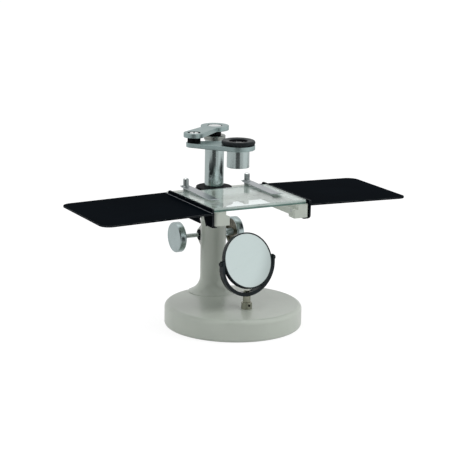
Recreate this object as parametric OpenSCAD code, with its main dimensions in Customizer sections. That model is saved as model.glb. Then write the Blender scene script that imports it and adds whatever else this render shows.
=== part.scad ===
// Dissecting microscope: round base, slotted pillar, rack focusing post, jointed lens arm,
// forked stage with a glass plate, hand rests, stage clips and a mirror in a turning fork.
// Millimetres. +X right, +Y back, +Z up. The origin is the centre of the base's underside.

/* [Base] */
// Diameter of the round base
base_d = 120; // [110:1:150]
// Height of the base at its rim
base_h = 19.5; // [17:0.5:26]
// Radius of the base's upper edge
base_top_r = 4; // [2:0.5:6]
// Radius of the base's lower edge
base_foot_r = 2.5; // [1:0.5:5]
// Rise of the domed top above the rim
base_dome = 0.8; // [0.4:0.1:2]
// Diameter of the rubber pad below the base
pad_d = 100; // [80:1:104]
// Thickness of the pad
pad_t = 2; // [1.5:0.1:3]
// How far the pad stands out below the casting
pad_out = 0.2; // [0.2:0.1:1]

/* [Pillar] */
// Distance of the pillar's axis behind the centre of the base
pillar_y = 39.8; // [36:0.1:42]
// Diameter of the pillar
pillar_d = 22.5; // [22:0.1:24]
// Width of the flare round the pillar's foot
flare_w = 10.2; // [7:0.1:11]
// Height of the flare
flare_h = 13.8; // [11:0.1:15]
// Solid height of the pillar below its bore
pillar_solid = 10.2; // [9:0.1:11]
// Diameter of the bolt that holds the pillar
bolt_d = 8; // [6:1:10]
// Width of the bolt's hexagon across its flats
bolt_af = 13; // [12:0.5:17]
// Height of the bolt's head
bolt_head = 5.5; // [4:0.5:7]
// Thickness of the bolt's washer
washer_t = 1.6; // [1:0.1:2]
// Diameter of the bolt's washer
washer_d = 16; // [15:0.5:20]
// Room round the washer in the base
washer_room = 2; // [1:0.5:3]

/* [Guide bush] */
// Diameter of the black flange round the post
collar_d = 31.6; // [26:0.2:33]
// Thickness of the flange
collar_t = 2.2; // [1.5:0.1:3]
// Wall of the sleeve inside the pillar
sleeve_wall = 1.2; // [1:0.05:1.3]
// Length of the sleeve inside the pillar
sleeve_len = 14; // [10:0.5:20]

/* [Focusing post] */
// Diameter of the post
post_d = 17; // [16:0.1:17.4]
// Diameter of the bore through the post
post_bore = 11; // [9:0.5:11]
// Height of the post's top when the stand is in its rest position
post_top = 157.6; // [150:0.1:165]
// Height of the post's foot
post_foot = 42; // [41.5:0.1:42.5]
// Travel of the post upwards from rest
travel_up = 18; // [14:1:18]
// Travel of the post downwards from rest
travel_down = 10; // [6:1:10]
// Diameter of the cap on the post
cap_d = 19; // [18:0.5:20]
// Thickness of the cap
cap_t = 4; // [3:0.5:5]
// Depth of the cap's plug inside the post
plug_len = 8; // [6:0.5:10]

/* [Rack and pinion] */
// Module of the teeth
tooth_m = 0.6; // [0.55:0.05:0.6]
// Number of teeth on the pinion
pinion_n = 12; // [12:1:13]
// Pressure angle of the teeth
tooth_angle = 25; // [25:1:27]
// Backlash between rack and pinion
backlash = 0.12; // [0.1:0.01:0.16]
// Width of the rack
rack_w = 5; // [4:0.1:6]
// Height of the tooth tips above the post's surface
rack_stand = 2.7; // [2.5:0.1:2.8]
// Distance of the rack's seat from the post's axis
rack_seat = 7; // [6.8:0.1:7.4]
// Plain land at each end of the rack
rack_land = 4; // [3.5:0.1:4.2]
// Diameter of the rack's screws
rack_screw_d = 2; // [1.6:0.1:2.4]
// Height of the pinion's axis
pinion_z = 69; // [68.8:0.1:70]
// Width of the pinion's teeth
pinion_w = 6; // [5.4:0.1:6.6]
// Diameter of the pinion's shaft
shaft_d = 4; // [3.4:0.1:4.4]
// Diameter of the pinion's bushes
pin_bush_d = 8.8; // [8.6:0.1:9.2]
// Thickness of the bushes' flanges
pin_bush_lip = 0.8; // [0.5:0.1:1]
// Width of the housing round the pinion
housing_w = 12.6; // [12:0.1:15]
// Wall of the housing round the bushes
housing_wall = 1.6; // [1.4:0.1:2]
// Height of the housing where it joins the pillar
housing_h = 21; // [18:0.5:26]
// How far the bushes' flanges stand out round them
pin_bush_step = 0.4; // [0.3:0.1:0.8]

/* [Focusing knobs] */
// Diameter of the knobs
knob_d = 27; // [22:0.5:32]
// Thickness of the knobs
knob_t = 6.5; // [5:0.5:9]
// Distance between the outer faces of the knobs
knob_span = 64; // [58:1:80]
// Chamfer of the knobs
knob_chamfer = 0.8; // [0.4:0.1:1.5]
// Diameter of a knob's hub
hub_d = 6.4; // [6:0.2:9]
// Length of a knob's hub
hub_len = 5; // [4:0.5:7]
// Diameter of a knob's set screw
set_screw_d = 2; // [1.6:0.2:2.4]

/* [Stage] */
// Height of the stage casting's top
stage_z = 113.4; // [113:0.1:118]
// Width of the stage casting
stage_w = 91; // [86:1:100]
// Front edge of the stage casting, before the base's centre
stage_front = 50; // [46:1:56]
// Back edge of the stage casting, behind the base's centre
stage_back = 45.3; // [43.5:0.1:48]
// Radius of the casting's outer corners
stage_r = 4; // [2:0.5:8]
// Width of each side arm
arm_w = 14.5; // [13:0.5:18]
// Depth of each side arm
arm_h = 9; // [8:0.5:9.5]
// Thickness of the web between the arms
web_t = 6; // [5:0.5:7]
// Front edge of the web, before the base's centre
web_front = 2.5; // [0:0.5:10]
// Radius of the opening's inner corners
opening_r = 6; // [3:0.5:10]
// Width of the ledge round the opening
ledge_w = 3.4; // [2:0.1:5]
// Depth of the ledge below the stage's top
ledge_h = 3.6; // [2:0.1:4]
// Length of the lug at the front of each arm
lug_len = 10; // [8:0.5:12]
// Depth of the lug
lug_h = 11.2; // [10.5:0.1:11.3]
// Diameter of the boss round the pillar
boss_d = 34; // [32:0.5:38]
// Height of the boss
boss_h = 15.4; // [14.5:0.1:20]
// Thickness of the ribs below the web
rib_t = 4; // [3:0.5:6]
// Diameter of the screws in the boss
boss_screw_d = 4; // [3:0.5:5]
// Depth of these screws below the stage's top
boss_screw_z = 9.5; // [8:0.5:11]

/* [Stage glass] */
// Distance of the glass from the casting's sides
glass_in = 1; // [0.8:0.1:4]
// Distance of the glass behind the casting's front
glass_set = 3.5; // [1:0.1:8]
// Gap between the glass and the guide bush's flange
glass_gap = 0.4; // [0.3:0.1:4]
// Thickness of the glass
glass_t = 3.5; // [3:0.1:4]
// Radius of the glass's corners
glass_r = 1.5; // [0.5:0.1:3]

/* [Stage clips] */
// Distance of the studs from the casting's sides
clip_in = 15.35; // [13:0.05:17]
// Distance of the studs before the casting's back
clip_set = 10.5; // [9:0.1:11.5]
// Diameter of a stud
stud_d = 5; // [4:0.1:5.5]
// Height of a stud above the glass
stud_h = 9.6; // [8:0.1:12]
// Width of a clip's leaf
leaf_w = 8.8; // [7:0.1:10]
// Thickness of the leaf
leaf_t = 0.7; // [0.5:0.05:0.9]
// Length of the leaf before the stud
leaf_len = 57.5; // [44:0.5:60]
// Height of the leaf above the glass at the stud
leaf_rise = 1.3; // [1:0.1:4]

/* [Hand rests] */
// Length of a hand rest
rest_len = 99.5; // [80:0.5:120]
// Thickness of the sheet
rest_t = 1.2; // [1:0.1:1.5]
// Distance of the hand rests' back edge before the casting's back
rest_set = 3; // [2:0.1:5]
// Radius of the outer corners
rest_r = 9; // [4:0.5:16]
// Angle by which a rest slopes down outwards
rest_droop = 1.2; // [0:0.1:3]
// Depth of the flange that hangs on the stage arm
flange_h = 13.2; // [13:0.1:15]
// Length of the lip beside the glass
lip_len = 86; // [60:1:90]
// Radius of the lip's back corner
lip_r = 3; // [1:0.1:3]
// Length of the front tongue of the flange
tongue_len = 12; // [11:0.5:15]
// Radius of the tongue's lower corners
tongue_r = 4; // [2:0.5:5]
// Reach of the notch behind the tongue
notch_w = 15.4; // [13:0.1:17]
// Height of the notch
notch_h = 8; // [6:0.5:9]
// Slant of the notch's back side
notch_lean = 4; // [0:0.5:5]
// Slant of the tongue's back side
tongue_lean = 5; // [0:0.5:6]
// Radius of the curl at the foot of the tongue
curl_r = 1; // [1:0.1:1.4]
// Length of the lip that curls below the lug
curl_len = 2.6; // [1.5:0.1:4]
// Diameter of the pins that carry a rest
pin_d = 4; // [3:0.1:4.5]
// Depth of the pins in the stage arm
pin_len = 9; // [7:0.5:11]
// Distance of the front pin behind the notch
pin_front = 10.6; // [8:0.1:16]
// Distance of the back pin before the rest's back edge
pin_back = 20; // [14:0.5:24]
// How far a pin's head stands out round the pin
pin_head = 1.2; // [0.8:0.1:1.6]
// Height of a pin's head
pin_head_h = 0.8; // [0.5:0.1:1.2]

/* [Arms and lens] */
// Thickness of the link and of the lens arm
bar_t = 4; // [3.5:0.1:5]
// Height of the spacers between the bars
gap_h = 4.5; // [4.4:0.1:7]
// Distance between the link's two joints
link_len = 41.5; // [39:0.5:46]
// Turn of the link from the left towards the front
link_turn = 37.5; // [0:0.5:60]
// Radius of the link's end on the post
link_post_r = 12.4; // [11:0.1:13]
// Radius of the link's outer end
link_end_r = 9; // [8:0.1:10]
// Half the width of the link's neck at the post
link_neck_r = 6.2; // [5:0.1:8]
// Distance from the arm's joint to the lens
arm_len = 38.9; // [37:0.1:42]
// Turn of the lens arm from the right towards the front
arm_turn = 40.2; // [10:0.1:60]
// Radius of the lens arm's jointed end
arm_end_r = 6.7; // [6.2:0.1:8]
// Radius of the ring that holds the lens
arm_ring_r = 14.4; // [13:0.1:15]
// Diameter of the post screw's head
post_head_d = 12.7; // [11:0.1:14]
// Diameter of the post screw's shoulder
post_shank_d = 7; // [6:0.1:8]
// Diameter of the link screw's head
link_head_d = 8; // [7.4:0.1:8.4]
// Diameter of the recess round the link screw's head
link_recess_d = 11; // [10:0.1:12]
// Diameter of the link screw's shoulder
link_shank_d = 5; // [4:0.1:6]
// Depth of the screw recesses
recess_h = 1.5; // [1:0.1:2]
// Diameter of the black spacers
spacer_d = 11.2; // [10:0.1:12]
// Width of the slot in the link screw
slot_w = 1.2; // [0.8:0.1:1.6]
// Depth of the slot
slot_h = 0.8; // [0.5:0.1:1]
// Turn of the slot
slot_turn = 62; // [0:1:180]
// Diameter of the lens barrel
barrel_d = 19.4; // [18:0.1:20]
// Length of the barrel below the lens arm
barrel_drop = 15.3; // [12:0.1:18]
// Wall of the barrel
barrel_wall = 1.5; // [1.2:0.1:2]
// Diameter of the black eye ring
eye_d = 29; // [27:0.1:30]
// Thickness of the eye ring
eye_t = 4; // [3.6:0.1:5]
// Rounding of the eye ring's rim
eye_round = 1.9; // [1.2:0.1:1.9]
// Rounding of the opening in the eye ring
eye_lip = 0.8; // [0.4:0.1:1]
// Height of the barrel inside the eye ring
barrel_up = 2.2; // [1.8:0.1:2.6]
// Diameter of the opening in the eye ring
eye_hole = 14.5; // [12:0.1:15]
// Edge thickness of each lens
lens_edge = 1.6; // [1.2:0.1:2]
// Radius of the lenses' curved faces
lens_curve = 18; // [16:0.5:24]
// Wall of the tube between the lenses
lens_tube_wall = 0.7; // [0.5:0.1:1.2]
// Height of the ring that holds the lower lens
retainer_h = 1.4; // [1:0.1:2]
// Width of that ring
retainer_w = 1.4; // [1:0.1:2]
// Distance of that ring above the barrel's end
retainer_in = 0.6; // [0.4:0.1:1.5]

/* [Mirror] */
// Distance of the mirror's stem before the base's centre
mirror_y = 25; // [20:0.5:30]
// Height of the mirror's pivots
mirror_z = 62.8; // [60:0.1:66]
// Turn of the fork, right end backwards
fork_turn = 6.2; // [0:0.1:40]
// Tilt of the mirror's face above the horizon
mirror_tilt = 18; // [0:1:80]
// Outer diameter of the mirror's cell
cell_d = 48.6; // [44:0.2:54]
// Depth of the cell
cell_h = 5.4; // [5.2:0.1:8]
// Wall of the cell
cell_wall = 0.8; // [0.8:0.1:1.2]
// Distance of the cell's front edge before the pivots
cell_front = 1.8; // [1.6:0.1:3]
// Thickness of the mirror at its edge
mirror_t = 4; // [3.4:0.1:4.1]
// Radius of the mirror's hollow face
mirror_curve = 140; // [110:1:220]
// Gap between the cell and the fork
fork_gap = 0.5; // [0.4:0.1:1.2]
// Thickness of the fork's arms
fork_t = 2.1; // [1.8:0.1:3]
// Thickness of the fork at its foot
fork_foot_t = 3.3; // [2.6:0.1:4]
// Width of the fork
fork_w = 5.6; // [5:0.1:8]
// Straight height of the fork below its pivots
fork_straight = 2.9; // [2:0.1:6]
// Diameter of the mirror's stem
stem_d = 6.6; // [6:0.1:7]
// Diameter of the socket that holds the stem
socket_d = 9.4; // [9:0.1:10.4]
// Height of the socket above the base
socket_h = 5.8; // [5:0.1:8]
// Diameter of the pivot screws
pivot_d = 2.4; // [2:0.1:2.8]
// Diameter of the pivot screws' heads
pivot_head_d = 4.5; // [3.6:0.1:5.2]
// Height of these heads
pivot_head_h = 1.4; // [1:0.1:2]
// Reach of the pivot screws inside the cell's wall
pivot_in = 0.6; // [0.3:0.1:1]
// Chamfer at the back of the cell
cell_chamfer = 1.2; // [0.6:0.1:2]
// Depth of the mirror's edge behind the cell's front
mirror_set = 0.3; // [0.2:0.1:0.8]
// Depth of the stem and its socket in the base
stem_in = 9.3; // [8:0.1:11]
// Height of the rivet that closes the fork's foot
rivet_h = 1.2; // [0.8:0.1:1.6]
// Diameter of the stem's neck in the fork's foot
neck_d = 4; // [3:0.1:5]

/* [Hidden] */
$fn = 96;

paint = "#b4b8ac";
chrome = "#b9bfc2";
black = "#1c1f22";
steel = "#8e9598";
brass = "#a79a74";
glass = "#d4ebe3";

// Radial clearance of a shaft in its bore
running = 0.05;
// Clearance of a part dropped into a recess or lying near another
easy = 0.2;
// Room beside and before the moving teeth
tooth_room = 0.4;
// Room left at the end of a blind hole
end_room = 1;
// Lift of a clip's toe above the glass
toe_lift = 0.3;
// Length that a cut runs past the face it opens
past = 1;
// Depth by which a tangent side sinks into the round that it meets
skin = 0.01;

seat_z = base_h + base_dome;
pillar_r = pillar_d / 2;
flare_curve = (pow(flare_w, 2) + pow(flare_h, 2)) / (2 * flare_w);
bore_floor = seat_z + pillar_solid;
sleeve_r = post_d / 2 + running + sleeve_wall;
bolt_pocket_z = pad_t + bolt_head + washer_t + end_room;

tooth_pitch = PI * tooth_m;
pinion_r = pinion_n * tooth_m / 2;
rack_line = post_d / 2 + rack_stand - tooth_m;
rack_tip = rack_line + tooth_m;
rack_root = rack_line - 1.25 * tooth_m;
pinion_off = rack_line + pinion_r;
pinion_y = pillar_y + pinion_off;
pinion_tip_r = pinion_r + tooth_m;
pinion_root_r = pinion_r - 1.25 * tooth_m;
pinion_base_r = pinion_r * cos(tooth_angle);
teeth_below = ceil(travel_up / tooth_pitch) + 2;
teeth_above = ceil(travel_down / tooth_pitch) + 2;
rack_low = pinion_z - teeth_below * tooth_pitch - rack_land;
rack_high = pinion_z + teeth_above * tooth_pitch + rack_land;
cavity_w = pinion_w + 2 * tooth_room;
housing_r = pin_bush_d / 2 + housing_wall;

arm_x = stage_w / 2 - arm_w;
opening_out = opening_r + ledge_w + past;
glass_x = stage_w / 2 - glass_in;
glass_front = stage_front - glass_set;
glass_back = pillar_y - collar_d / 2 - glass_gap;
glass_top = stage_z + glass_t;
clip_x = stage_w / 2 - clip_in;
clip_y = stage_back - clip_set;
stud_top = glass_top + stud_h;
leaf_z = glass_top + leaf_rise;

rest_x = stage_w / 2 + easy;
rest_low = stage_z - flange_h;
rest_back = stage_back - rest_set;
rest_deep = stage_front + rest_back;
notch_y = tongue_len - stage_front;
bend_z = rest_low + rest_t + curl_r;
pin_z = stage_z - arm_h / 2;
pin_ys = [notch_y + notch_w + pin_front, rest_back - pin_back];

arm_top = post_top + cap_t;
arm_low = arm_top - bar_t;
link_low = arm_top + gap_h;
link_top = link_low + bar_t;
link_dir = 180 + link_turn;
joint_x = link_len * cos(link_dir);
joint_y = pillar_y + link_len * sin(link_dir);
lens_x = joint_x + arm_len * cos(arm_turn);
lens_y = joint_y - arm_len * sin(arm_turn);
barrel_low = arm_low - barrel_drop;
barrel_top = arm_top + barrel_up;
barrel_bore = barrel_d / 2 - barrel_wall;
lens_r = barrel_bore - running;
lens_bulge = lens_curve - sqrt(pow(lens_curve, 2) - pow(lens_r, 2));
lens_seat = lens_edge + running + sqrt(pow(lens_curve, 2) - pow(lens_r - lens_tube_wall, 2))
    - sqrt(pow(lens_curve, 2) - pow(lens_r, 2));
lower_flat_z = barrel_low + retainer_in + retainer_h;

cell_r = cell_d / 2;
fork_in = cell_r + fork_gap;
fork_out = fork_in + fork_t;
fork_mid_z = mirror_z - fork_straight;
fork_sink = fork_foot_t - fork_t;
fork_low = fork_mid_z - fork_sink - fork_out;
rivet_low = fork_mid_z - sqrt(pow(fork_in, 2) - pow(stem_d / 2, 2));
cell_bore = cell_r - cell_wall;
cell_back = cell_front - cell_h;
stem_low = seat_z - stem_in;
socket_low = stem_low - 2 * end_room;
socket_screw_z = seat_z + socket_h * 0.6;

// Height of the tooth gap that faces the pinion, and of every k-th tooth from it
function tooth_z(k) = pinion_z + (k + 0.5) * tooth_pitch;
// Involute function, in degrees
function inv(a) = tan(a) * 180 / PI - a;
function tooth_half(r) = 90 / pinion_n - backlash / 4 / pinion_r * 180 / PI
    + inv(tooth_angle) - inv(acos(min(1, pinion_base_r / r)));
function polar(r, a) = [r * cos(a), r * sin(a)];
// Tangent points that join two circles along X, a distance apart, just inside the rims
function belt(r1, r2, apart) = let (a = acos((r1 - r2) / apart), q1 = r1 - skin, q2 = r2 - skin)
    [polar(q1, -a), [apart, 0] + polar(q2, -a), [apart, 0] + polar(q2, a), polar(q1, a)];

module rounded(x0, y0, x1, y1, r) {
    translate([x0 + r, y0]) square([x1 - x0 - 2 * r, y1 - y0]);
    translate([x0, y0 + r]) square([x1 - x0, y1 - y0 - 2 * r]);
    for (x = [x0 + r, x1 - r], y = [y0 + r, y1 - r]) translate([x, y]) circle(r);
}

module tapered_bar(r1, r2, apart, t) {
    linear_extrude(t) {
        circle(r1);
        translate([apart, 0]) circle(r2);
        polygon(belt(r1, r2, apart));
    }
}

module ring(r_out, r_in, h) {
    difference() {
        cylinder(r = r_out, h = h);
        translate([0, 0, -past]) cylinder(r = r_in, h = h + 2 * past);
    }
}

module at_post() translate([0, pillar_y, 0]) children();
module at_joint() translate([joint_x, joint_y, 0]) children();
module at_lens() translate([lens_x, lens_y, 0]) children();
module at_pinion() translate([0, pinion_y, pinion_z]) children();
module at_stem() translate([0, -mirror_y, 0]) children();
module along_x() rotate([90, 0, 90]) children();
module left_side() mirror([1, 0, 0]) children();

// Base

module base_outline() {
    r = base_d / 2;
    translate([0, pad_out]) square([r - base_foot_r, base_h - pad_out - base_top_r]);
    translate([0, pad_out + base_foot_r])
        square([r, base_h - pad_out - base_foot_r - base_top_r]);
    translate([0, base_h - base_top_r - past]) square([r - base_top_r, base_top_r + past]);
    translate([r - base_foot_r, pad_out + base_foot_r]) circle(base_foot_r);
    translate([r - base_top_r, base_h - base_top_r]) circle(base_top_r);
    dome_r = r - base_top_r;
    polygon(concat([[0, base_h - past]], [for (i = [0:12]) let (x = dome_r * (1 - i / 12))
        [x, base_h + base_dome * (1 - pow(x / dome_r, 2))]]));
}

module base() {
    color(paint) difference() {
        union() {
            rotate_extrude() base_outline();
            intersection() {
                at_post() cylinder(r = pillar_r + flare_w, h = seat_z);
                cylinder(r = base_d / 2 - base_top_r, h = seat_z);
            }
            at_stem() cylinder(r = socket_d / 2 + washer_room, h = seat_z);
        }
        translate([0, 0, -past])
            cylinder(d = pad_d + easy, h = pad_t + past);
        at_post() translate([0, 0, pad_t - past])
            cylinder(r = washer_d / 2 + washer_room, h = bolt_pocket_z - pad_t + past);
        at_post() cylinder(d = bolt_d + 2 * easy, h = seat_z + past);
        at_stem() translate([0, 0, socket_low])
            cylinder(d = socket_d + 2 * running, h = seat_z);
    }
}

module base_pad() {
    color(black) cylinder(d = pad_d, h = pad_t - running);
}

module pillar_washer() {
    color(steel) at_post() translate([0, 0, bolt_pocket_z - washer_t])
        ring(washer_d / 2, bolt_d / 2 + running, washer_t);
}

module pillar_bolt() {
    head_low = bolt_pocket_z - washer_t - bolt_head;
    color(steel) at_post() {
        translate([0, 0, head_low]) cylinder(d = bolt_af / cos(30), h = bolt_head, $fn = 6);
        translate([0, 0, head_low])
            cylinder(d = bolt_d, h = bore_floor - 1.5 * end_room - head_low);
    }
}

// Pillar

module rack_slot(z0, z1) {
    half = rack_w / 2 + easy;
    translate([-half, 0, z0]) cube([2 * half, rack_tip + tooth_room, z1 - z0]);
}

module housing_side() {
    translate([pinion_off, pinion_z]) circle(housing_r);
    up = housing_h / 2;
    in = pillar_r / 2;
    edge = pillar_r - tooth_room;
    rise = atan2(up - housing_r, pinion_off - edge);
    side = housing_r * [sin(rise), cos(rise)];
    polygon([[in, pinion_z - up], [edge, pinion_z - up],
        [pinion_off + side[0], pinion_z - side[1]], [pinion_off + side[0], pinion_z + side[1]],
        [edge, pinion_z + up], [in, pinion_z + up]]);
}

module pillar() {
    bush_r = pin_bush_d / 2 + running;
    color(paint) difference() {
        union() {
            at_post() translate([0, 0, seat_z]) cylinder(r = pillar_r, h = stage_z - seat_z);
            intersection() {
                at_post() translate([0, 0, seat_z]) rotate_extrude() difference() {
                    square([pillar_r + flare_w, flare_h]);
                    translate([pillar_r + flare_curve, flare_h]) circle(flare_curve);
                }
                cylinder(r = base_d / 2 - base_top_r, h = stage_z);
            }
            at_post() translate([-housing_w / 2, 0, 0])
                along_x() linear_extrude(housing_w) housing_side();
        }
        at_post() {
            translate([0, 0, bore_floor])
                cylinder(r = post_d / 2 + running, h = stage_z);
            translate([0, 0, stage_z - sleeve_len])
                cylinder(r = sleeve_r + running, h = sleeve_len + past);
            rack_slot(bore_floor, stage_z + past);
            translate([0, 0, seat_z - past])
                cylinder(d = bolt_d + 2 * running, h = bore_floor - end_room - seat_z + past);
        }
        at_pinion() translate([-cavity_w / 2, 0, 0])
            along_x() cylinder(r = pinion_tip_r + easy, h = cavity_w);
        at_pinion() for (x = [-housing_w / 2 - past, cavity_w / 2]) translate([x, 0, 0])
            along_x() cylinder(r = bush_r, h = (housing_w - cavity_w) / 2 + past);
    }
}

module guide_bush() {
    color(black) at_post() difference() {
        union() {
            translate([0, 0, stage_z]) cylinder(d = collar_d, h = collar_t);
            translate([0, 0, stage_z - sleeve_len]) cylinder(r = sleeve_r, h = sleeve_len);
        }
        translate([0, 0, stage_z - sleeve_len - past])
            cylinder(r = post_d / 2 + running, h = sleeve_len + collar_t + 2 * past);
        rack_slot(stage_z - sleeve_len - past, rack_high + travel_up + end_room);
    }
}

// Focusing post

module focus_post() {
    color(chrome) at_post() difference() {
        translate([0, 0, post_foot]) cylinder(d = post_d, h = post_top - post_foot);
        translate([0, 0, post_foot - past])
            cylinder(d = post_bore, h = post_top - post_foot + 2 * past);
        translate([-rack_w / 2, rack_seat, post_foot - past])
            cube([rack_w, post_d, rack_high - post_foot + past]);
        for (z = [rack_low, rack_high]) rack_screw_place(z)
            cylinder(d = rack_screw_d, h = rack_root);
    }
}

module rack_screw_place(z) {
    inward = z > pinion_z ? -rack_land / 2 : rack_land / 2;
    translate([0, rack_root, z + inward]) rotate([90, 0, 0]) children();
}

module rack_side() {
    tip_half = tooth_pitch / 4 - backlash / 4 - tooth_m * tan(tooth_angle);
    root_half = tooth_pitch / 4 - backlash / 4 + 1.25 * tooth_m * tan(tooth_angle);
    teeth = [for (k = [-teeth_below:teeth_above - 1]) each [
        [rack_root, tooth_z(k) - root_half], [rack_tip, tooth_z(k) - tip_half],
        [rack_tip, tooth_z(k) + tip_half], [rack_root, tooth_z(k) + root_half]]];
    polygon(concat([[rack_seat, rack_low], [rack_root, rack_low]], teeth,
        [[rack_root, rack_high], [rack_seat, rack_high]]));
}

module focus_rack() {
    color(steel) at_post() difference() {
        translate([-rack_w / 2, 0, 0]) along_x() linear_extrude(rack_w) rack_side();
        for (z = [rack_low, rack_high]) rack_screw_place(z) rack_screw(running);
    }
}

module rack_screw(extra) {
    cylinder(d = rack_screw_d + 2 * extra, h = rack_root - post_bore / 2 - end_room / 2);
    translate([0, 0, -extra])
        cylinder(d = rack_screw_d * 1.6 + 2 * extra, h = rack_screw_d / 2 + extra);
}

module rack_screws() {
    color(steel) at_post() for (z = [rack_low, rack_high]) rack_screw_place(z) rack_screw(0);
}

module post_cap() {
    color(chrome) at_post() difference() {
        union() {
            translate([0, 0, post_top]) cylinder(d = cap_d, h = cap_t);
            translate([0, 0, post_top - plug_len])
                cylinder(d = post_bore - 2 * running, h = plug_len + past);
        }
        translate([0, 0, post_top - plug_len - past])
            cylinder(d = post_shank_d + 2 * running, h = plug_len + cap_t + 2 * past);
    }
}

module post_spacer() {
    color(black) at_post() translate([0, 0, arm_top])
        ring(spacer_d / 2, post_shank_d / 2 + running, gap_h - running);
}

module post_screw() {
    head_z = link_top - recess_h;
    color(chrome) at_post() {
        translate([0, 0, post_top - plug_len])
            cylinder(d = post_shank_d, h = head_z - post_top + plug_len + past / 2);
        translate([0, 0, head_z + running]) cylinder(d = post_head_d, h = recess_h - running);
    }
}

// Pinion and knobs

module pinion_tooth_ring() {
    start_r = max(pinion_base_r, pinion_root_r);
    radii = [for (i = [0:5]) start_r + (pinion_tip_r - start_r) * i / 5];
    polygon([for (k = [0:pinion_n - 1]) let (mid = 180 + k * 360 / pinion_n) each concat(
        [polar(pinion_root_r, mid - tooth_half(start_r))],
        [for (r = radii) polar(r, mid - tooth_half(r))],
        [for (i = [5:-1:0]) polar(radii[i], mid + tooth_half(radii[i]))],
        [polar(pinion_root_r, mid + tooth_half(start_r))])]);
}

module pinion_shaft() {
    reach = knob_span / 2 - knob_t / 2;
    color(steel) at_pinion() {
        translate([-pinion_w / 2, 0, 0]) along_x() linear_extrude(pinion_w) pinion_tooth_ring();
        translate([-reach, 0, 0]) along_x() cylinder(d = shaft_d, h = 2 * reach);
    }
}

module pinion_bushes() {
    body_len = (housing_w - cavity_w) / 2;
    for (s = [-1, 1]) color(black) at_pinion() difference() {
        union() {
            translate([s > 0 ? cavity_w / 2 : -housing_w / 2, 0, 0])
                along_x() cylinder(d = pin_bush_d, h = body_len);
            translate([s > 0 ? housing_w / 2 : -housing_w / 2 - pin_bush_lip, 0, 0])
                along_x() cylinder(r = pin_bush_d / 2 + pin_bush_step, h = pin_bush_lip);
        }
        translate([-housing_w, 0, 0]) along_x()
            cylinder(d = shaft_d + 2 * running, h = 2 * housing_w);
    }
}

module knob() {
    face = knob_span / 2;
    c = knob_chamfer;
    r = knob_d / 2;
    floor_x = face - knob_t / 2;
    color(chrome) at_pinion() difference() {
        along_x() union() {
            translate([0, 0, face - knob_t]) cylinder(r1 = r - c, r2 = r, h = c);
            translate([0, 0, face - knob_t + c]) cylinder(r = r, h = knob_t - 2 * c);
            translate([0, 0, face - c]) cylinder(r1 = r, r2 = r - c, h = c);
            translate([0, 0, face - knob_t - hub_len]) cylinder(d = hub_d, h = hub_len + c);
        }
        along_x() cylinder(d = shaft_d + 2 * running, h = floor_x + running);
        translate([face - knob_t - hub_len / 2, 0, 0]) rotate([180, 0, 0])
            cylinder(d = set_screw_d + 2 * running, h = hub_d);
    }
}

module left_knob() left_side() knob();
module right_knob() knob();

module knob_screws() {
    x = knob_span / 2 - knob_t - hub_len / 2;
    color(steel) at_pinion() for (s = [-1, 1]) translate([s * x, 0, 0]) rotate([180, 0, 0])
        translate([0, 0, shaft_d / 2 + running])
            cylinder(d = set_screw_d, h = (hub_d - shaft_d) / 2);
}

// Stage

module stage_plan(front) {
    difference() {
        rounded(-stage_w / 2, -front, stage_w / 2, stage_back, stage_r);
        rounded(-arm_x, -stage_front - opening_out, arm_x, -web_front, opening_r);
    }
}

module ledge_plan() {
    rounded(-arm_x - ledge_w, -stage_front - opening_out, arm_x + ledge_w,
        ledge_w - web_front, opening_r + ledge_w);
}

module rail_plan() {
    intersection() {
        stage_plan(stage_front);
        for (x = [-stage_w / 2, arm_x]) translate([x, -stage_front])
            square([arm_w, stage_front + stage_back]);
    }
}

module lug_plan() {
    intersection() {
        rail_plan();
        translate([-stage_w / 2, -stage_front]) square([stage_w, lug_len]);
    }
}

module boss_screw_place() {
    for (a = [45, 135]) translate([0, 0, stage_z - boss_screw_z]) rotate([0, 0, a])
        rotate([0, 90, 0]) children();
}

module stage_casting() {
    color(paint) difference() {
        union() {
            translate([0, 0, stage_z - web_t]) linear_extrude(web_t) stage_plan(stage_front);
            translate([0, 0, stage_z - arm_h]) linear_extrude(arm_h) rail_plan();
            translate([0, 0, stage_z - lug_h]) linear_extrude(lug_h) lug_plan();
            at_post() translate([0, 0, stage_z - boss_h]) cylinder(d = boss_d, h = boss_h);
            for (s = [-1, 1]) translate([s * boss_d * 0.3 - rib_t / 2, -web_front, stage_z - arm_h])
                cube([rib_t, pillar_y + web_front - boss_d * 0.2, arm_h]);
        }
        translate([0, 0, stage_z - ledge_h]) linear_extrude(ledge_h + past) ledge_plan();
        at_post() translate([0, 0, stage_z - boss_h - past])
            cylinder(r = pillar_r + running, h = boss_h + 2 * past);
        at_post() rack_slot(stage_z - boss_h - past, stage_z + past);
        for (s = [-1, 1]) translate([s * clip_x, clip_y, stage_z - arm_h - past])
            cylinder(d = stud_d + 2 * running, h = arm_h + 2 * past);
        for (s = [-1, 1], y = pin_ys) translate([s * (stage_w / 2 - pin_len - easy), y, pin_z])
            rotate([0, s * 90, 0]) cylinder(d = pin_d + 2 * running, h = pin_len + past);
        at_post() boss_screw_place() cylinder(d = boss_screw_d + 2 * running, h = boss_d);
    }
}

module stage_screws() {
    color(steel) at_post() boss_screw_place() difference() {
        translate([0, 0, pillar_r + 2 * running])
            cylinder(d = boss_screw_d, h = (boss_d - pillar_d) / 2);
        translate([0, 0, boss_d / 2 - boss_screw_d / 4])
            cylinder(d = boss_screw_d / 2, h = boss_screw_d, $fn = 6);
    }
}

module stage_glass() {
    color(glass, 0.4) translate([0, 0, stage_z]) linear_extrude(glass_t)
        rounded(-glass_x, -glass_front, glass_x, glass_back, glass_r);
}

// Stage clips

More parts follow.
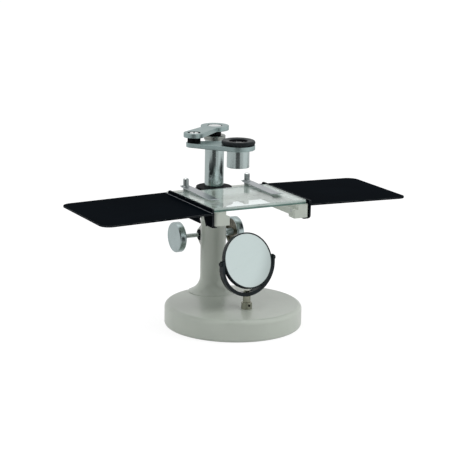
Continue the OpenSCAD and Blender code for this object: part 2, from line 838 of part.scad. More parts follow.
module clip_stud() {
    crown_r = stud_d * 0.65;
    crown_h = stud_d / 5;
    low = stage_z - web_t - end_room;
    translate([clip_x, clip_y, 0]) {
        translate([0, 0, low]) cylinder(d = stud_d, h = stud_top - low - crown_h);
        intersection() {
            translate([0, 0, stud_top - crown_h - past])
                cylinder(d = stud_d, h = crown_h + past);
            translate([0, 0, stud_top - crown_r]) sphere(crown_r);
        }
    }
}

module clip_leaf() {
    half = leaf_w / 2;
    toe = glass_top + toe_lift;
    run = [[-leaf_len, toe + half / 4], [-leaf_len + half, toe], [-leaf_len + 1.6 * half, toe],
        [-half, leaf_z], [half + past, leaf_z]];
    top = [for (i = [len(run) - 1:-1:0]) run[i] + [0, leaf_t]];
    translate([clip_x, clip_y, 0]) difference() {
        intersection() {
            translate([-half, 0, 0]) along_x() linear_extrude(leaf_w) polygon(concat(run, top));
            translate([0, 0, stage_z]) linear_extrude(stud_h) {
                circle(half);
                translate([-half, -leaf_len]) square([leaf_w, leaf_len]);
            }
        }
        translate([0, 0, leaf_z - past]) cylinder(d = stud_d, h = leaf_t + 2 * past);
    }
}

module right_clip_stud() color(chrome) clip_stud();
module left_clip_stud() color(chrome) left_side() clip_stud();
module right_clip_leaf() color(steel) clip_leaf();
module left_clip_leaf() color(steel) left_side() clip_leaf();

// Hand rests

module across_y(y0, y1) translate([0, y1, 0]) rotate([90, 0, 0]) linear_extrude(y1 - y0) children();

module plate_section() {
    translate([rest_x, stage_z]) rotate(-rest_droop) translate([0, -rest_t])
        square([rest_len, rest_t]);
}

module curl_section() {
    mid_x = rest_x - curl_r;
    intersection() {
        translate([mid_x, bend_z]) difference() {
            circle(curl_r + rest_t);
            circle(curl_r);
        }
        translate([mid_x, rest_low - past]) square([curl_r + rest_t, bend_z - rest_low + past]);
    }
    translate([mid_x - curl_len, rest_low]) square([curl_len, rest_t]);
    translate([rest_x, bend_z]) square([rest_t, rest_t]);
}

module flange_side() {
    notch_top = rest_low + notch_h;
    lip_end = lip_len - stage_front;
    difference() {
        union() {
            translate([-stage_front, rest_low + tongue_r])
                square([tongue_len, flange_h - tongue_r]);
            translate([tongue_r - stage_front, rest_low])
                square([tongue_len - 2 * tongue_r, flange_h]);
            for (y = [tongue_r - stage_front, notch_y - tongue_r])
                translate([y, rest_low + tongue_r]) circle(tongue_r);
            translate([notch_y, rest_low]) square([rest_deep - tongue_len, flange_h]);
            translate([-stage_front, stage_z - past])
                square([lip_len, glass_t - lip_r + past]);
            translate([-stage_front, stage_z - past]) square([lip_len - lip_r, glass_t + past]);
            translate([lip_end - lip_r, glass_top - lip_r]) circle(lip_r);
        }
        polygon([[notch_y, rest_low - past], [notch_y + notch_w - notch_lean, rest_low - past],
            [notch_y + notch_w, notch_top], [notch_y + tongue_lean, notch_top]]);
    }
}

module rest_flange() {
    reach = curl_r + curl_len;
    intersection() {
        translate([rest_x - reach, 0, 0]) along_x() linear_extrude(reach + rest_t) flange_side();
        union() {
            across_y(-stage_front, notch_y) curl_section();
            translate([rest_x, -stage_front, bend_z])
                cube([rest_t, rest_deep, flange_h + glass_t]);
            translate([rest_x, notch_y, rest_low])
                cube([rest_t, rest_deep - tongue_len, flange_h]);
        }
    }
}

module hand_rest() {
    color(black) difference() {
        union() {
            rest_flange();
            intersection() {
                across_y(-stage_front, rest_back) plate_section();
                linear_extrude(stage_z + past) rounded(rest_x - 2 * rest_r, -stage_front,
                    rest_x + rest_len * cos(rest_droop), rest_back, rest_r);
            }
        }
        for (y = pin_ys) translate([rest_x - past, y, pin_z]) rotate([0, 90, 0])
            cylinder(d = pin_d, h = rest_t + 2 * past);
    }
}

module rest_pins() {
    color(black) for (y = pin_ys) translate([stage_w / 2 - pin_len, y, pin_z]) rotate([0, 90, 0]) {
        cylinder(d = pin_d, h = pin_len + easy + rest_t);
        translate([0, 0, pin_len + easy + rest_t])
            cylinder(d1 = pin_d + 2 * pin_head, d2 = pin_d, h = pin_head_h);
    }
}

module right_hand_rest() hand_rest();
module left_hand_rest() left_side() hand_rest();
module right_rest_pins() rest_pins();
module left_rest_pins() left_side() rest_pins();

// Link, lens arm and lens

module link_bar() {
    color(chrome) at_post() rotate([0, 0, link_dir]) difference() {
        translate([0, 0, link_low]) linear_extrude(bar_t) {
            circle(link_post_r);
            translate([link_len, 0]) circle(link_end_r);
            polygon(belt(link_neck_r, link_end_r, link_len));
        }
        translate([0, 0, link_low - past])
            cylinder(d = post_shank_d + 2 * running, h = bar_t + 2 * past);
        translate([0, 0, link_top - recess_h])
            cylinder(d = post_head_d + 2 * running, h = recess_h + past);
        translate([link_len, 0, link_low - past])
            cylinder(d = link_shank_d + 2 * running, h = bar_t + 2 * past);
        translate([link_len, 0, link_top - recess_h])
            cylinder(d = link_recess_d, h = recess_h + past);
    }
}

module lens_arm() {
    color(chrome) difference() {
        at_joint() rotate([0, 0, -arm_turn]) translate([0, 0, arm_low])
            tapered_bar(arm_end_r, arm_ring_r, arm_len, bar_t);
        at_joint() translate([0, 0, arm_low - past])
            cylinder(d = link_shank_d, h = bar_t + 2 * past);
        at_lens() translate([0, 0, arm_low - past])
            cylinder(d = barrel_d + 2 * running, h = bar_t + 2 * past);
    }
}

module arm_spacer() {
    color(black) at_joint() translate([0, 0, arm_top])
        ring(spacer_d / 2, link_shank_d / 2, gap_h - running);
}

module link_screw() {
    head_z = link_top - recess_h + running;
    color(chrome) at_joint() difference() {
        union() {
            translate([0, 0, arm_low])
                cylinder(d = link_shank_d, h = head_z - arm_low + recess_h / 2);
            translate([0, 0, head_z]) cylinder(d = link_head_d, h = recess_h);
        }
        rotate([0, 0, slot_turn])
            translate([-link_head_d, -slot_w / 2, head_z + recess_h - slot_h])
                cube([2 * link_head_d, slot_w, slot_h + past]);
    }
}

module lens_barrel() {
    color(chrome) at_lens() difference() {
        translate([0, 0, barrel_low]) cylinder(d = barrel_d, h = barrel_top - barrel_low);
        translate([0, 0, barrel_low - past])
            cylinder(r = barrel_bore, h = barrel_top - barrel_low + 2 * past);
    }
}

module eye_ring() {
    inner = eye_hole / 2;
    outer = eye_d / 2 - eye_round;
    color(black) at_lens() translate([0, 0, arm_top + running]) difference() {
        rotate_extrude() {
            translate([inner + eye_lip, 0]) square([outer - inner - eye_lip, eye_t]);
            translate([inner, 0]) square([2 * eye_lip, eye_t - eye_lip]);
            translate([inner + eye_lip, eye_t - eye_lip]) circle(eye_lip);
            for (z = [eye_round, eye_t - eye_round]) translate([outer, z]) circle(eye_round);
            translate([outer, eye_round]) square([eye_round, eye_t - 2 * eye_round]);
        }
        translate([0, 0, -past])
            cylinder(d = barrel_d + 2 * running, h = barrel_top - arm_top + past);
    }
}

module thin_lens(curve_up) {
    side = curve_up ? 1 : -1;
    intersection() {
        translate([0, 0, side * (lens_edge + lens_bulge - lens_curve)]) sphere(lens_curve);
        translate([0, 0, curve_up ? 0 : -lens_edge - lens_bulge])
            cylinder(r = lens_r, h = lens_edge + lens_bulge);
    }
}

module upper_lens() color(glass, 0.4) at_lens() translate([0, 0, barrel_top]) thin_lens(false);
module lower_lens() color(glass, 0.4) at_lens() translate([0, 0, lower_flat_z]) thin_lens(true);

module lens_spacer() {
    color(black) at_lens() translate([0, 0, lower_flat_z + lens_seat])
        ring(lens_r, lens_r - lens_tube_wall, barrel_top - lower_flat_z - 2 * lens_seat);
}

module lens_retainer() {
    color(black) at_lens() translate([0, 0, barrel_low + retainer_in])
        ring(lens_r, lens_r - retainer_w, retainer_h);
}

// Mirror

module mirror_socket() {
    color(brass) at_stem() difference() {
        translate([0, 0, socket_low]) cylinder(d = socket_d, h = seat_z + socket_h - socket_low);
        translate([0, 0, stem_low - tooth_room])
            cylinder(d = stem_d + 2 * running, h = seat_z + socket_h);
        translate([0, 0, socket_screw_z]) rotate([90, 0, 0])
            cylinder(d = set_screw_d + 2 * running, h = socket_d);
    }
}

module socket_screw() {
    wall = (socket_d - stem_d) / 2;
    groove = set_screw_d / 4;
    color(steel) at_stem() translate([0, -stem_d / 2 - running, socket_screw_z])
        rotate([90, 0, 0]) difference() {
            cylinder(d = set_screw_d, h = wall + groove);
            translate([-set_screw_d, -groove / 2, wall]) cube([2 * set_screw_d, groove, past]);
        }
}

module in_fork() at_stem() rotate([0, 0, fork_turn]) children();

module fork_front() {
    difference() {
        union() {
            translate([0, fork_mid_z - fork_sink]) circle(fork_out);
            translate([-fork_out, fork_mid_z - fork_sink])
                square([2 * fork_out, fork_sink + fork_straight + fork_w]);
        }
        translate([0, fork_mid_z]) circle(fork_in);
        translate([-fork_in, fork_mid_z]) square([2 * fork_in, fork_straight + 2 * fork_w]);
    }
}

module fork_side() {
    translate([-fork_w / 2, 0]) square([fork_w, mirror_z]);
    translate([0, mirror_z]) circle(fork_w / 2);
}

module mirror_fork() {
    color(steel) in_fork() difference() {
        intersection() {
            translate([0, fork_w / 2, 0]) rotate([90, 0, 0]) linear_extrude(fork_w) fork_front();
            translate([-2 * fork_out, 0, 0]) along_x() linear_extrude(4 * fork_out) fork_side();
        }
        translate([0, 0, fork_low - past]) cylinder(d = neck_d, h = fork_foot_t + 3 * past);
        for (s = [-1, 1]) translate([0, 0, mirror_z]) rotate([0, s * 90, 0])
            cylinder(d = pivot_d, h = 2 * fork_out);
    }
}

module fork_stem() {
    color(chrome) in_fork() {
        translate([0, 0, stem_low]) cylinder(d = stem_d, h = fork_low - stem_low);
        translate([0, 0, fork_low - past])
            cylinder(d = neck_d, h = fork_foot_t + past + rivet_h / 2);
        translate([0, 0, rivet_low]) cylinder(d1 = stem_d, d2 = neck_d, h = rivet_h);
    }
}

module pivot_screws() {
    tip = cell_bore - pivot_in;
    color(steel) in_fork() for (s = [-1, 1]) translate([0, 0, mirror_z]) rotate([0, s * 90, 0]) {
        translate([0, 0, tip]) cylinder(d = pivot_d, h = fork_out - tip);
        translate([0, 0, fork_out]) difference() {
            cylinder(d1 = pivot_head_d, d2 = pivot_head_d * 0.85, h = pivot_head_h);
            translate([-pivot_head_d, -slot_w / 3, pivot_head_h / 2])
                cube([2 * pivot_head_d, slot_w * 2 / 3, past]);
        }
    }
}

module in_mirror() in_fork() translate([0, 0, mirror_z]) rotate([90 - mirror_tilt, 0, 0]) children();

module mirror_cell() {
    c = cell_chamfer;
    color(black) in_mirror() difference() {
        union() {
            translate([0, 0, cell_back]) cylinder(r1 = cell_r - c, r2 = cell_r, h = c);
            translate([0, 0, cell_back + c]) cylinder(r = cell_r, h = cell_h - c);
        }
        translate([0, 0, cell_back + cell_wall]) cylinder(r = cell_bore, h = cell_h);
        for (s = [-1, 1]) rotate([0, s * 90, 0]) cylinder(d = pivot_d + 2 * running, h = 2 * cell_r);
    }
}

module mirror_glass() {
    front = cell_front - mirror_set;
    sag = mirror_curve - sqrt(pow(mirror_curve, 2) - pow(cell_bore, 2));
    color("#dfe6ea") in_mirror() difference() {
        translate([0, 0, front - mirror_t]) cylinder(r = cell_bore - running, h = mirror_t);
        translate([0, 0, front + mirror_curve - sag]) sphere(mirror_curve, $fn = 360);
        for (s = [-1, 1]) rotate([0, s * 90, 0])
            translate([0, 0, cell_bore - pivot_in - easy])
                cylinder(d = pivot_d + 2 * easy, h = cell_wall + pivot_in + past);
    }
}

base();
base_pad();
pillar_bolt();
pillar_washer();
pillar();
guide_bush();
pinion_bushes();
stage_casting();
stage_screws();
stage_glass();
mirror_socket();
socket_screw();
focus_post();
focus_rack();
rack_screws();
post_cap();
post_spacer();
post_screw();
pinion_shaft();
left_knob();
right_knob();
knob_screws();
link_bar();
lens_arm();
arm_spacer();
link_screw();
lens_barrel();
eye_ring();
upper_lens();
lens_spacer();
lower_lens();
lens_retainer();
left_hand_rest();
right_hand_rest();
left_rest_pins();
right_rest_pins();
left_clip_stud();
right_clip_stud();
left_clip_leaf();
right_clip_leaf();
mirror_fork();
fork_stem();
pivot_screws();
mirror_cell();
mirror_glass();
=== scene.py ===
"""Looks of the dissecting microscope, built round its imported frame.

Sizes are in millimetres in the frame's axes until a mesh is made, and in metres after that.
"""

import logging
import math
from dataclasses import dataclass
from enum import Enum
from functools import cache, reduce
from typing import Callable, Iterable, Sequence

import bmesh
import bpy
from mathutils import Matrix, Vector

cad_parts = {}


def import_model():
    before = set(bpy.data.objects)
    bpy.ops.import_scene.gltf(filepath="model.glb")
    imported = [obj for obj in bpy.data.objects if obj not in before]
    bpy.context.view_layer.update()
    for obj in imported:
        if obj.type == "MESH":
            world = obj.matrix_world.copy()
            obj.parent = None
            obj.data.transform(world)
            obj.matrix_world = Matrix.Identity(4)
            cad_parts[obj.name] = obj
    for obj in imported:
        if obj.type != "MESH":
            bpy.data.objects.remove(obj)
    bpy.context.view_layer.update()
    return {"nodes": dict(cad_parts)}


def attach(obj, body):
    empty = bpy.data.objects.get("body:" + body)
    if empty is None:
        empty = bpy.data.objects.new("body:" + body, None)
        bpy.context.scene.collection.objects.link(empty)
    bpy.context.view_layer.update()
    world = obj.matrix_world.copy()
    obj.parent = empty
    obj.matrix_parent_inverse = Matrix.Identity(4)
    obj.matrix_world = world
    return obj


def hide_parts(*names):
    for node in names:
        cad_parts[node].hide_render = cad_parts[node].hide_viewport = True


MM = 0.001
# Least angle of an edge that is rounded or stays sharp, in degrees
CREASE = 32.0
# Widest gap between points that are one, in metres
WELD_GAP = 2e-6
# Greatest angle within a flat face, in degrees
FLAT_ANGLE = 0.4
# Share of the flat faces in the normals of the roundings
FLAT_WEIGHT = 80
# Share of open rays inside a piece, from no edge to a full one, and the rays cast
EDGE_SHARE = (0.12, 0.45)
EDGE_RAYS = 8
LOG = logging.getLogger("microscope")

Tone = tuple[float, float, float]
Point = tuple[float, float]


class Side(Enum):
    """Which side of the stand a mirrored piece is on."""

    LEFT = -1
    RIGHT = 1

    def of(self, piece: str) -> str:
        """Name of a piece on this side."""
        return f"{self.name.lower()}_{piece}"


class Axis(Enum):
    """Where a turned piece points, as its turn about +Y."""

    UP = 0.0
    RIGHT = math.pi / 2
    LEFT = -math.pi / 2


# Shader arithmetic


class Wire:
    """A shader socket that takes part in arithmetic."""

    def __init__(self, desk: "Desk", socket: bpy.types.NodeSocket) -> None:
        """Holds a socket of the desk's node tree."""
        self.desk = desk
        self.socket = socket

    def _math(self, operation: str, *values: "Wire | float") -> "Wire":
        """Adds a Math node on the values."""
        return self.desk.add("ShaderNodeMath", {"operation": operation}, dict(enumerate(values)))

    def __add__(self, other: "Wire | float") -> "Wire":
        """Sum."""
        return self._math("ADD", self, other)

    def __radd__(self, other: float) -> "Wire":
        """Sum, reflected."""
        return self._math("ADD", other, self)

    def __sub__(self, other: "Wire | float") -> "Wire":
        """Difference."""
        return self._math("SUBTRACT", self, other)

    def __rsub__(self, other: float) -> "Wire":
        """Difference, reflected."""
        return self._math("SUBTRACT", other, self)

    def __mul__(self, other: "Wire | float") -> "Wire":
        """Product."""
        return self._math("MULTIPLY", self, other)

    def __rmul__(self, other: float) -> "Wire":
        """Product, reflected."""
        return self._math("MULTIPLY", other, self)

    def __truediv__(self, other: "Wire | float") -> "Wire":
        """Quotient."""
        return self._math("DIVIDE", self, other)

    def __pow__(self, other: "Wire | float") -> "Wire":
        """Power."""
        return self._math("POWER", self, other)

    def most(self, other: "Wire | float") -> "Wire":
        """The larger of the two."""
        return self._math("MAXIMUM", self, other)

    def step(self, low: float, high: float) -> "Wire":
        """Rises smoothly from 0 at low to 1 at high."""
        feeds = {"Value": self, "From Min": low, "From Max": high}
        return self.desk.add("ShaderNodeMapRange", {"interpolation_type": "SMOOTHSTEP"}, feeds)

    def parts(self) -> tuple["Wire", "Wire", "Wire"]:
        """The three parts of a vector."""
        x = self.desk.add("ShaderNodeSeparateXYZ", feeds={0: self})
        return x, *(Wire(self.desk, output) for output in x.socket.node.outputs[1:])


class Desk:
    """A node tree and the ways of adding nodes to it."""

    def __init__(self, tree: bpy.types.NodeTree) -> None:
        """Clears the tree for new nodes."""
        self.tree = tree
        self.tree.nodes.clear()

    @staticmethod
    def _socket(sockets: bpy.types.bpy_prop_collection, key: "str | int") -> bpy.types.NodeSocket:
        """Finds a socket of a node.

        Args:
            sockets: The node's inputs or outputs.
            key: Place, identifier or name.

        Returns:
            The socket.
        """
        if isinstance(key, int):
            return sockets[key]
        exact = [s for s in sockets if s.identifier == key]
        return exact[0] if exact else next(s for s in sockets if s.name == key and s.enabled)

    def add(self, kind: str, settings: dict | None = None, feeds: dict | None = None,
            out: "str | int" = 0) -> Wire:
        """Adds one node.

        Args:
            kind: The node's type.
            settings: Its settings, set before its sockets.
            feeds: Socket to value or wire.
            out: The output that the wire holds.

        Returns:
            The wire of that output.
        """
        node = self.tree.nodes.new(kind)
        for key, value in (settings or {}).items():
            setattr(node, key, value)
        for key, value in (feeds or {}).items():
            socket = self._socket(node.inputs, key)
            if isinstance(value, Wire):
                self.tree.links.new(value.socket, socket)
            elif socket.type == "RGBA":
                socket.default_value = (*value, 1.0)
            else:
                socket.default_value = value
        return Wire(self, self._socket(node.outputs, out))

    def place(self, stretch: Tone = (1, 1, 1), turn: float = 0.0) -> Wire:
        """Object coordinates, turned about Z and stretched.

        Args:
            stretch: Factors along the turned axes.
            turn: Angle in degrees by which the grain lies off +X.

        Returns:
            The wire of the coordinates.
        """
        spot = self.add("ShaderNodeTexCoord", out="Object")
        if turn:
            feeds = {"Vector": spot, "Angle": -math.radians(turn)}
            spot = self.add("ShaderNodeVectorRotate", {"rotation_type": "Z_AXIS"}, feeds)
        return self.add("ShaderNodeVectorMath", {"operation": "MULTIPLY"}, {0: spot, 1: stretch})

    def noise(self, vector: Wire, scale: float, detail: float = 2.0, rough: float = 0.5) -> Wire:
        """Noise from 0 to 1, by cells per unit, finer layers and the share of those."""
        feeds = {"Vector": vector, "Scale": scale, "Detail": detail, "Roughness": rough}
        return self.add("ShaderNodeTexNoise", feeds=feeds, out="Fac")

    def mix(self, share: "Wire | float", first: "Wire | Tone", second: "Wire | Tone") -> Wire:
        """Mixes two colours; the share is the second's."""
        feeds = {"Factor_Float": share, "A_Color": first, "B_Color": second}
        return self.add("ShaderNodeMix", {"data_type": "RGBA"}, feeds, "Result_Color")

    def blend(self, share: Wire, first: Wire, second: Wire) -> Wire:
        """Mixes two shaders; the share is the second's."""
        return self.add("ShaderNodeMixShader", feeds={0: share, 1: first, 2: second})

    def bump(self, height: Wire, depth: float) -> Wire:
        """A bumped normal, from a height of 0 to 1 and the depth of that in millimetres."""
        return self.add("ShaderNodeBump", feeds={"Height": height, "Distance": depth * MM})

    def edges(self, reach: float) -> Wire:
        """Outer edges, where little of the piece lies within reach beneath the surface.

        Args:
            reach: Millimetres looked into the piece, less than its thickness.

        Returns:
            The wire, 1 at an edge and 0 away from it.
        """
        settings = {"inside": True, "only_local": True, "samples": EDGE_RAYS}
        full = self.add("ShaderNodeAmbientOcclusion", settings, {"Distance": reach * MM}, "AO")
        return (1.0 - full).step(*EDGE_SHARE)

    def surface(self, **feeds: "Wire | float | Tone") -> None:
        """Ends the tree with one Principled shader; its sockets have _ for a space."""
        named = {key.replace("_", " "): value for key, value in feeds.items()}
        self.add_output(self.add("ShaderNodeBsdfPrincipled", feeds=named, out="BSDF"))

    def add_output(self, shader: Wire, kind: str = "ShaderNodeOutputMaterial") -> None:
        """Feeds the shader to the tree's output."""
        node = self.tree.nodes.new(kind)
        self.tree.links.new(shader.socket, node.inputs["Surface"])

    def light_path(self, *rays: str) -> Wire:
        """1 for rays of the named kinds, which are outputs of Light Path."""
        return reduce(Wire.most, [self.add("ShaderNodeLightPath", out=ray) for ray in rays])


# Finishes


@dataclass(frozen=True)
class Finish:
    """A named finish; each kind below lays out its own nodes."""

    name: str
    tone: Tone

    @cache
    def material(self) -> bpy.types.Material:
        """Makes the material, once.

        Returns:
            The finish's material.
        """
        made = bpy.data.materials.new(self.name)
        made.use_nodes = True
        self.lay(Desk(made.node_tree))
        return made

    def lay(self, desk: Desk) -> None:
        """Lays out the nodes; here, the tone alone."""
        desk.surface(Base_Color=self.tone)

    def shade(self, factor: float) -> Tone:
        """The tone times a factor."""
        return tuple(min(1.0, c * factor) for c in self.tone)


@dataclass(frozen=True)
class Enamel(Finish):
    """Glossy stove enamel over a ground casting."""

    rough: float = 0.28
    peel: float = 0.035
    coat: float = 0.35
    haze: float = 0.12
    reach: float = 0.9

    def lay(self, desk: Desk) -> None:
        """Orange peel, faint mottling, rubbed edges and a little dust on what faces up.

        Args:
            desk: The material's nodes.
        """
        spot = desk.place()
        cloud = desk.noise(spot, 38.0, 3.0)
        fine = desk.noise(spot, 620.0, 2.0)
        speck = desk.noise(spot, 2400.0, 1.0).step(0.70, 0.78)
        up = desk.add("ShaderNodeNewGeometry", out="Normal").parts()[2].step(0.75, 1.0)
        edge_marks = desk.edges(self.reach) * desk.noise(spot, 210.0, 3.0).step(0.46, 0.62)
        dust = up * desk.noise(spot, 90.0, 4.0).step(0.45, 0.75) * 0.35
        tone = desk.mix(cloud.step(0.3, 0.7), self.shade(0.965), self.shade(1.03))
        tone = desk.mix(dust, tone, self.shade(1.08))
        tone = desk.mix(edge_marks * 0.5, tone, self.shade(0.80))
        tone = desk.mix(speck * 0.25, tone, self.shade(0.72))
        rough = self.rough + cloud * 0.08 + dust * 0.3 + edge_marks * 0.15
        normal = desk.bump(fine * 0.8 + cloud * 0.6, self.peel)
        desk.surface(Base_Color=tone, Roughness=rough, Normal=normal, Coat_Weight=self.coat,
                     Coat_Roughness=self.haze)


@dataclass(frozen=True)
class SheetPaint(Finish):
    """Matt black stove paint on folded sheet steel."""

    rough: float = 0.5
    film: float = 0.02
    haze: float = 0.3
    wear_and_highlight: float = 0.3
    reach: float = 0.45
    steel: Tone = (0.36, 0.38, 0.40)

    def lay(self, desk: Desk) -> None:
        """A fine even texture, faint wiping marks, and steel at the edges: partly paint rubbed down
        to the steel, partly a painted highlight along the edges.

        Args:
            desk: The material's nodes.
        """
        spot = desk.place()
        fine = desk.noise(spot, 1500.0, 2.0)
        cloud = desk.noise(spot, 26.0, 3.0)
        wipe = desk.noise(desk.place((9, 160, 9), 8.0), 1.0, 3.0, 0.6)
        # Lighter steel at the edges: partly rubbed paint, partly a painted highlight along the
        # edges.
        edge_marks = desk.edges(self.reach) * desk.noise(spot, 130.0, 3.0).step(0.30, 0.55) * self.wear_and_highlight
        tone = desk.mix(cloud.step(0.3, 0.7), self.shade(0.9), self.shade(1.1))
        tone = desk.mix(edge_marks, tone, self.steel)
        rough = self.rough + (cloud - 0.5) * 0.16 - edge_marks * 0.2
        desk.surface(Base_Color=tone, Roughness=rough, Metallic=edge_marks.step(0.3, 0.6),
                     Normal=desk.bump(fine, 0.012), Specular_IOR_Level=0.0,
                     Coat_Weight=self.film + wipe.step(0.45, 0.75) * self.film * 0.12,
                     Coat_Roughness=self.haze)


@dataclass(frozen=True)
class Plated(Finish):
    """Chrome or nickel plate on brushed metal, with the grain along one direction."""

    rough: float = 0.16
    grain: Tone = (60.0, 2600.0, 2600.0)
    turn: float = 0.0
    depth: float = 0.004
    stain: Tone = (0.30, 0.31, 0.30)

    def lay(self, desk: Desk) -> None:
        """Fine grain lines, smears in the gloss and a few dull spots.

        Args:
            desk: The material's nodes.
        """
        spot = desk.place()
        lines = desk.noise(desk.place(self.grain, self.turn), 1.0, 3.0, 0.6)
        smear = desk.noise(spot, 70.0, 3.0)
        spots = desk.noise(spot, 420.0, 2.0).step(0.66, 0.76)
        tone = desk.mix(smear.step(0.35, 0.75) * 0.5, self.shade(1.04), self.shade(0.92))
        tone = desk.mix(spots * 0.35, tone, self.stain)
        rough = self.rough + smear * 0.10 + spots * 0.18 + (lines - 0.5) * 0.10
        desk.surface(Base_Color=tone, Metallic=1.0, Roughness=rough,
                     Normal=desk.bump(lines, self.depth))


@dataclass(frozen=True)
class Turned(Finish):
    """Plated metal with the rings that a lathe leaves, about the piece's own Z axis."""

    rough: float = 0.2
    ring: float = 2400.0
    depth: float = 0.006
    mottle: float = 0.0

    def lay(self, desk: Desk) -> None:
        """Rings by radius and height, smears and dull spots.

        Args:
            desk: The material's nodes.
        """
        spot = desk.place()
        x, y, z = spot.parts()
        radius = (x * x + y * y) ** 0.5
        line = desk.add("ShaderNodeCombineXYZ", feeds={0: radius * self.ring, 2: z * self.ring})
        rings = desk.noise(line, 1.0, 3.0, 0.65)
        smear = desk.noise(spot, 90.0, 3.0)
        spots = desk.noise(spot, 500.0, 2.0).step(0.66, 0.76)
        tone = desk.mix(smear.step(0.35, 0.75) * 0.6, self.shade(1.05), self.shade(0.90))
        tone = desk.mix(spots * 0.3, tone, self.shade(0.55))
        if self.mottle:
            blot = desk.noise(spot, 330.0, 3.0, 0.6).step(0.42, 0.58)
            tone = desk.mix(blot * self.mottle, tone, self.shade(0.18))
        rough = self.rough + smear * 0.10 + spots * 0.15 + (rings - 0.5) * 0.12
        desk.surface(Base_Color=tone, Metallic=1.0, Roughness=rough,
                     Normal=desk.bump(rings, self.depth))


@dataclass(frozen=True)
class Moulded(Finish):
    """Moulded plastic or rubber with a fine grain."""

    rough: float = 0.4
    grain: float = 1400.0
    depth: float = 0.02
    gloss: float = 0.5
    film: float = 0.0
    haze: float = 0.12
    reach: float = 0.35

    def lay(self, desk: Desk) -> None:
        """Grain, rubbed edges and a bloom of dust in random patches.

        Args:
            desk: The material's nodes.
        """
        spot = desk.place()
        fine = desk.noise(spot, self.grain, 2.0)
        cloud = desk.noise(spot, 130.0, 4.0)
        edge_marks = desk.edges(self.reach)
        tone = desk.mix(cloud.step(0.4, 0.75), self.shade(0.9), self.shade(1.5))
        tone = desk.mix(edge_marks * 0.4, tone, self.shade(2.2))
        rough = self.rough + (cloud - 0.5) * 0.2 - edge_marks * 0.08
        desk.surface(Base_Color=tone, Roughness=rough, Normal=desk.bump(fine, self.depth),
                     Specular_IOR_Level=self.gloss, Coat_Weight=self.film,
                     Coat_Roughness=self.haze)


@dataclass(frozen=True)
class ClearGlass(Finish):
    """Polished glass."""

    index: float = 1.46

    def lay(self, desk: Desk) -> None:
        """Clear glass with a few finger smears.

        Args:
            desk: The material's nodes.
        """
        spot = desk.place()
        smear = desk.noise(spot, 45.0, 4.0).step(0.58, 0.80)
        tone = desk.mix(smear * 0.5, self.tone, self.shade(0.97))
        desk.surface(Base_Color=tone, Roughness=smear * 0.05, IOR=self.index,
                     Transmission_Weight=1.0)


@dataclass(frozen=True)
class GroundGlass(Finish):
    """The ground edge of a plate: green low down, where the light from inside is caught."""

    pale: Tone = (0.70, 0.80, 0.76)
    low: float = 114.6
    high: float = 115.6
    waver: float = 0.7
    rough: float = 0.3
    clear: float = 0.45
    index: float = 1.46

    def lay(self, desk: Desk) -> None:
        """Grinding marks along the edge, and a band that fades upwards.

        Args:
            desk: The material's nodes.
        """
        spot = desk.place()
        height = spot.parts()[2]
        marks = desk.noise(desk.place((300.0, 300.0, 2600.0)), 1.0, 2.0)
        wave = (desk.noise(spot, 55.0, 2.0) - 0.5) * (self.waver * MM)
        band = (height + wave).step(self.low * MM, self.high * MM)
        tone = desk.mix(band, self.tone, self.pale)
        tone = desk.mix(marks.step(0.45, 0.8) * 0.3, tone, self.shade(1.5))
        desk.surface(Base_Color=tone, Roughness=self.rough + (marks - 0.5) * 0.2,
                     IOR=self.index, Transmission_Weight=self.clear, Normal=desk.bump(marks, 0.01))


@dataclass(frozen=True)
class Silvered(Finish):
    """The mirror's silvered face, dulled near its rim."""

    radius: float = 0.0235
    rough: float = 0.03
    bloom: Tone = (0.30, 0.28, 0.24)

    def lay(self, desk: Desk) -> None:
        """Brown bloom at the rim, dust specks and faint wiping marks.

        Args:
            desk: The material's nodes.
        """
        spot = desk.place()
        x, y, _ = spot.parts()
        rim = ((x * x + y * y) ** 0.5 / self.radius).step(0.93, 1.0)
        rim = rim * desk.noise(spot, 260.0, 3.0).step(0.35, 0.70)
        specks = desk.noise(spot, 2600.0, 1.0).step(0.78, 0.84)
        wipe = desk.noise(desk.place((1, 4, 1), 30.0), 60.0, 3.0)
        tone = desk.mix(rim * 0.4, self.tone, self.bloom)
        tone = desk.mix(specks * 0.3, tone, self.shade(0.8))
        tone = desk.mix(wipe.step(0.4, 0.8) * 0.15, tone, self.shade(0.9))
        rough = self.rough + wipe * 0.04 + specks * 0.2 + rim * 0.2
        desk.surface(Base_Color=tone, Metallic=1.0, Roughness=rough)


GREY_ENAMEL = Enamel("grey_enamel", (0.50, 0.545, 0.485))
BLACK_SHEET = SheetPaint("black_sheet", (0.0020, 0.0036, 0.0056))
# A lighter bead laid along each rest's fold: painted highlight where the bend catches the light,
# with edges rubbed to steel.
FOLD_HIGHLIGHT = SheetPaint("fold_painted_highlight", (0.16, 0.17, 0.19), film=0.3, wear_and_highlight=0.75)
CHROME_TONE = (0.435, 0.510, 0.505)
POST_CHROME = Plated("post_chrome", CHROME_TONE, rough=0.09, grain=(2600.0, 2600.0, 40.0),
                     depth=0.0015)
BARREL_CHROME = Plated("barrel_chrome", CHROME_TONE, rough=0.13, grain=(2600.0, 2600.0, 40.0),
                       depth=0.0015)
BAR_TONE = (0.355, 0.450, 0.445)
LINK_CHROME = Plated("link_chrome", BAR_TONE, rough=0.33, turn=217.5)
ARM_CHROME = Plated("arm_chrome", BAR_TONE, rough=0.33, turn=-40.2)
STEEL = Plated("bare_steel", (0.42, 0.44, 0.45), rough=0.3, grain=(2200.0, 2200.0, 2200.0))
LEAF_STEEL = Plated("leaf_steel", (0.47, 0.50, 0.52), rough=0.26, grain=(2600.0, 50.0, 900.0))
FORK_ENAMEL = Moulded("fork_enamel", (0.009, 0.015, 0.018), rough=0.13, grain=900.0, depth=0.004,
                      gloss=0.12, film=0.12)
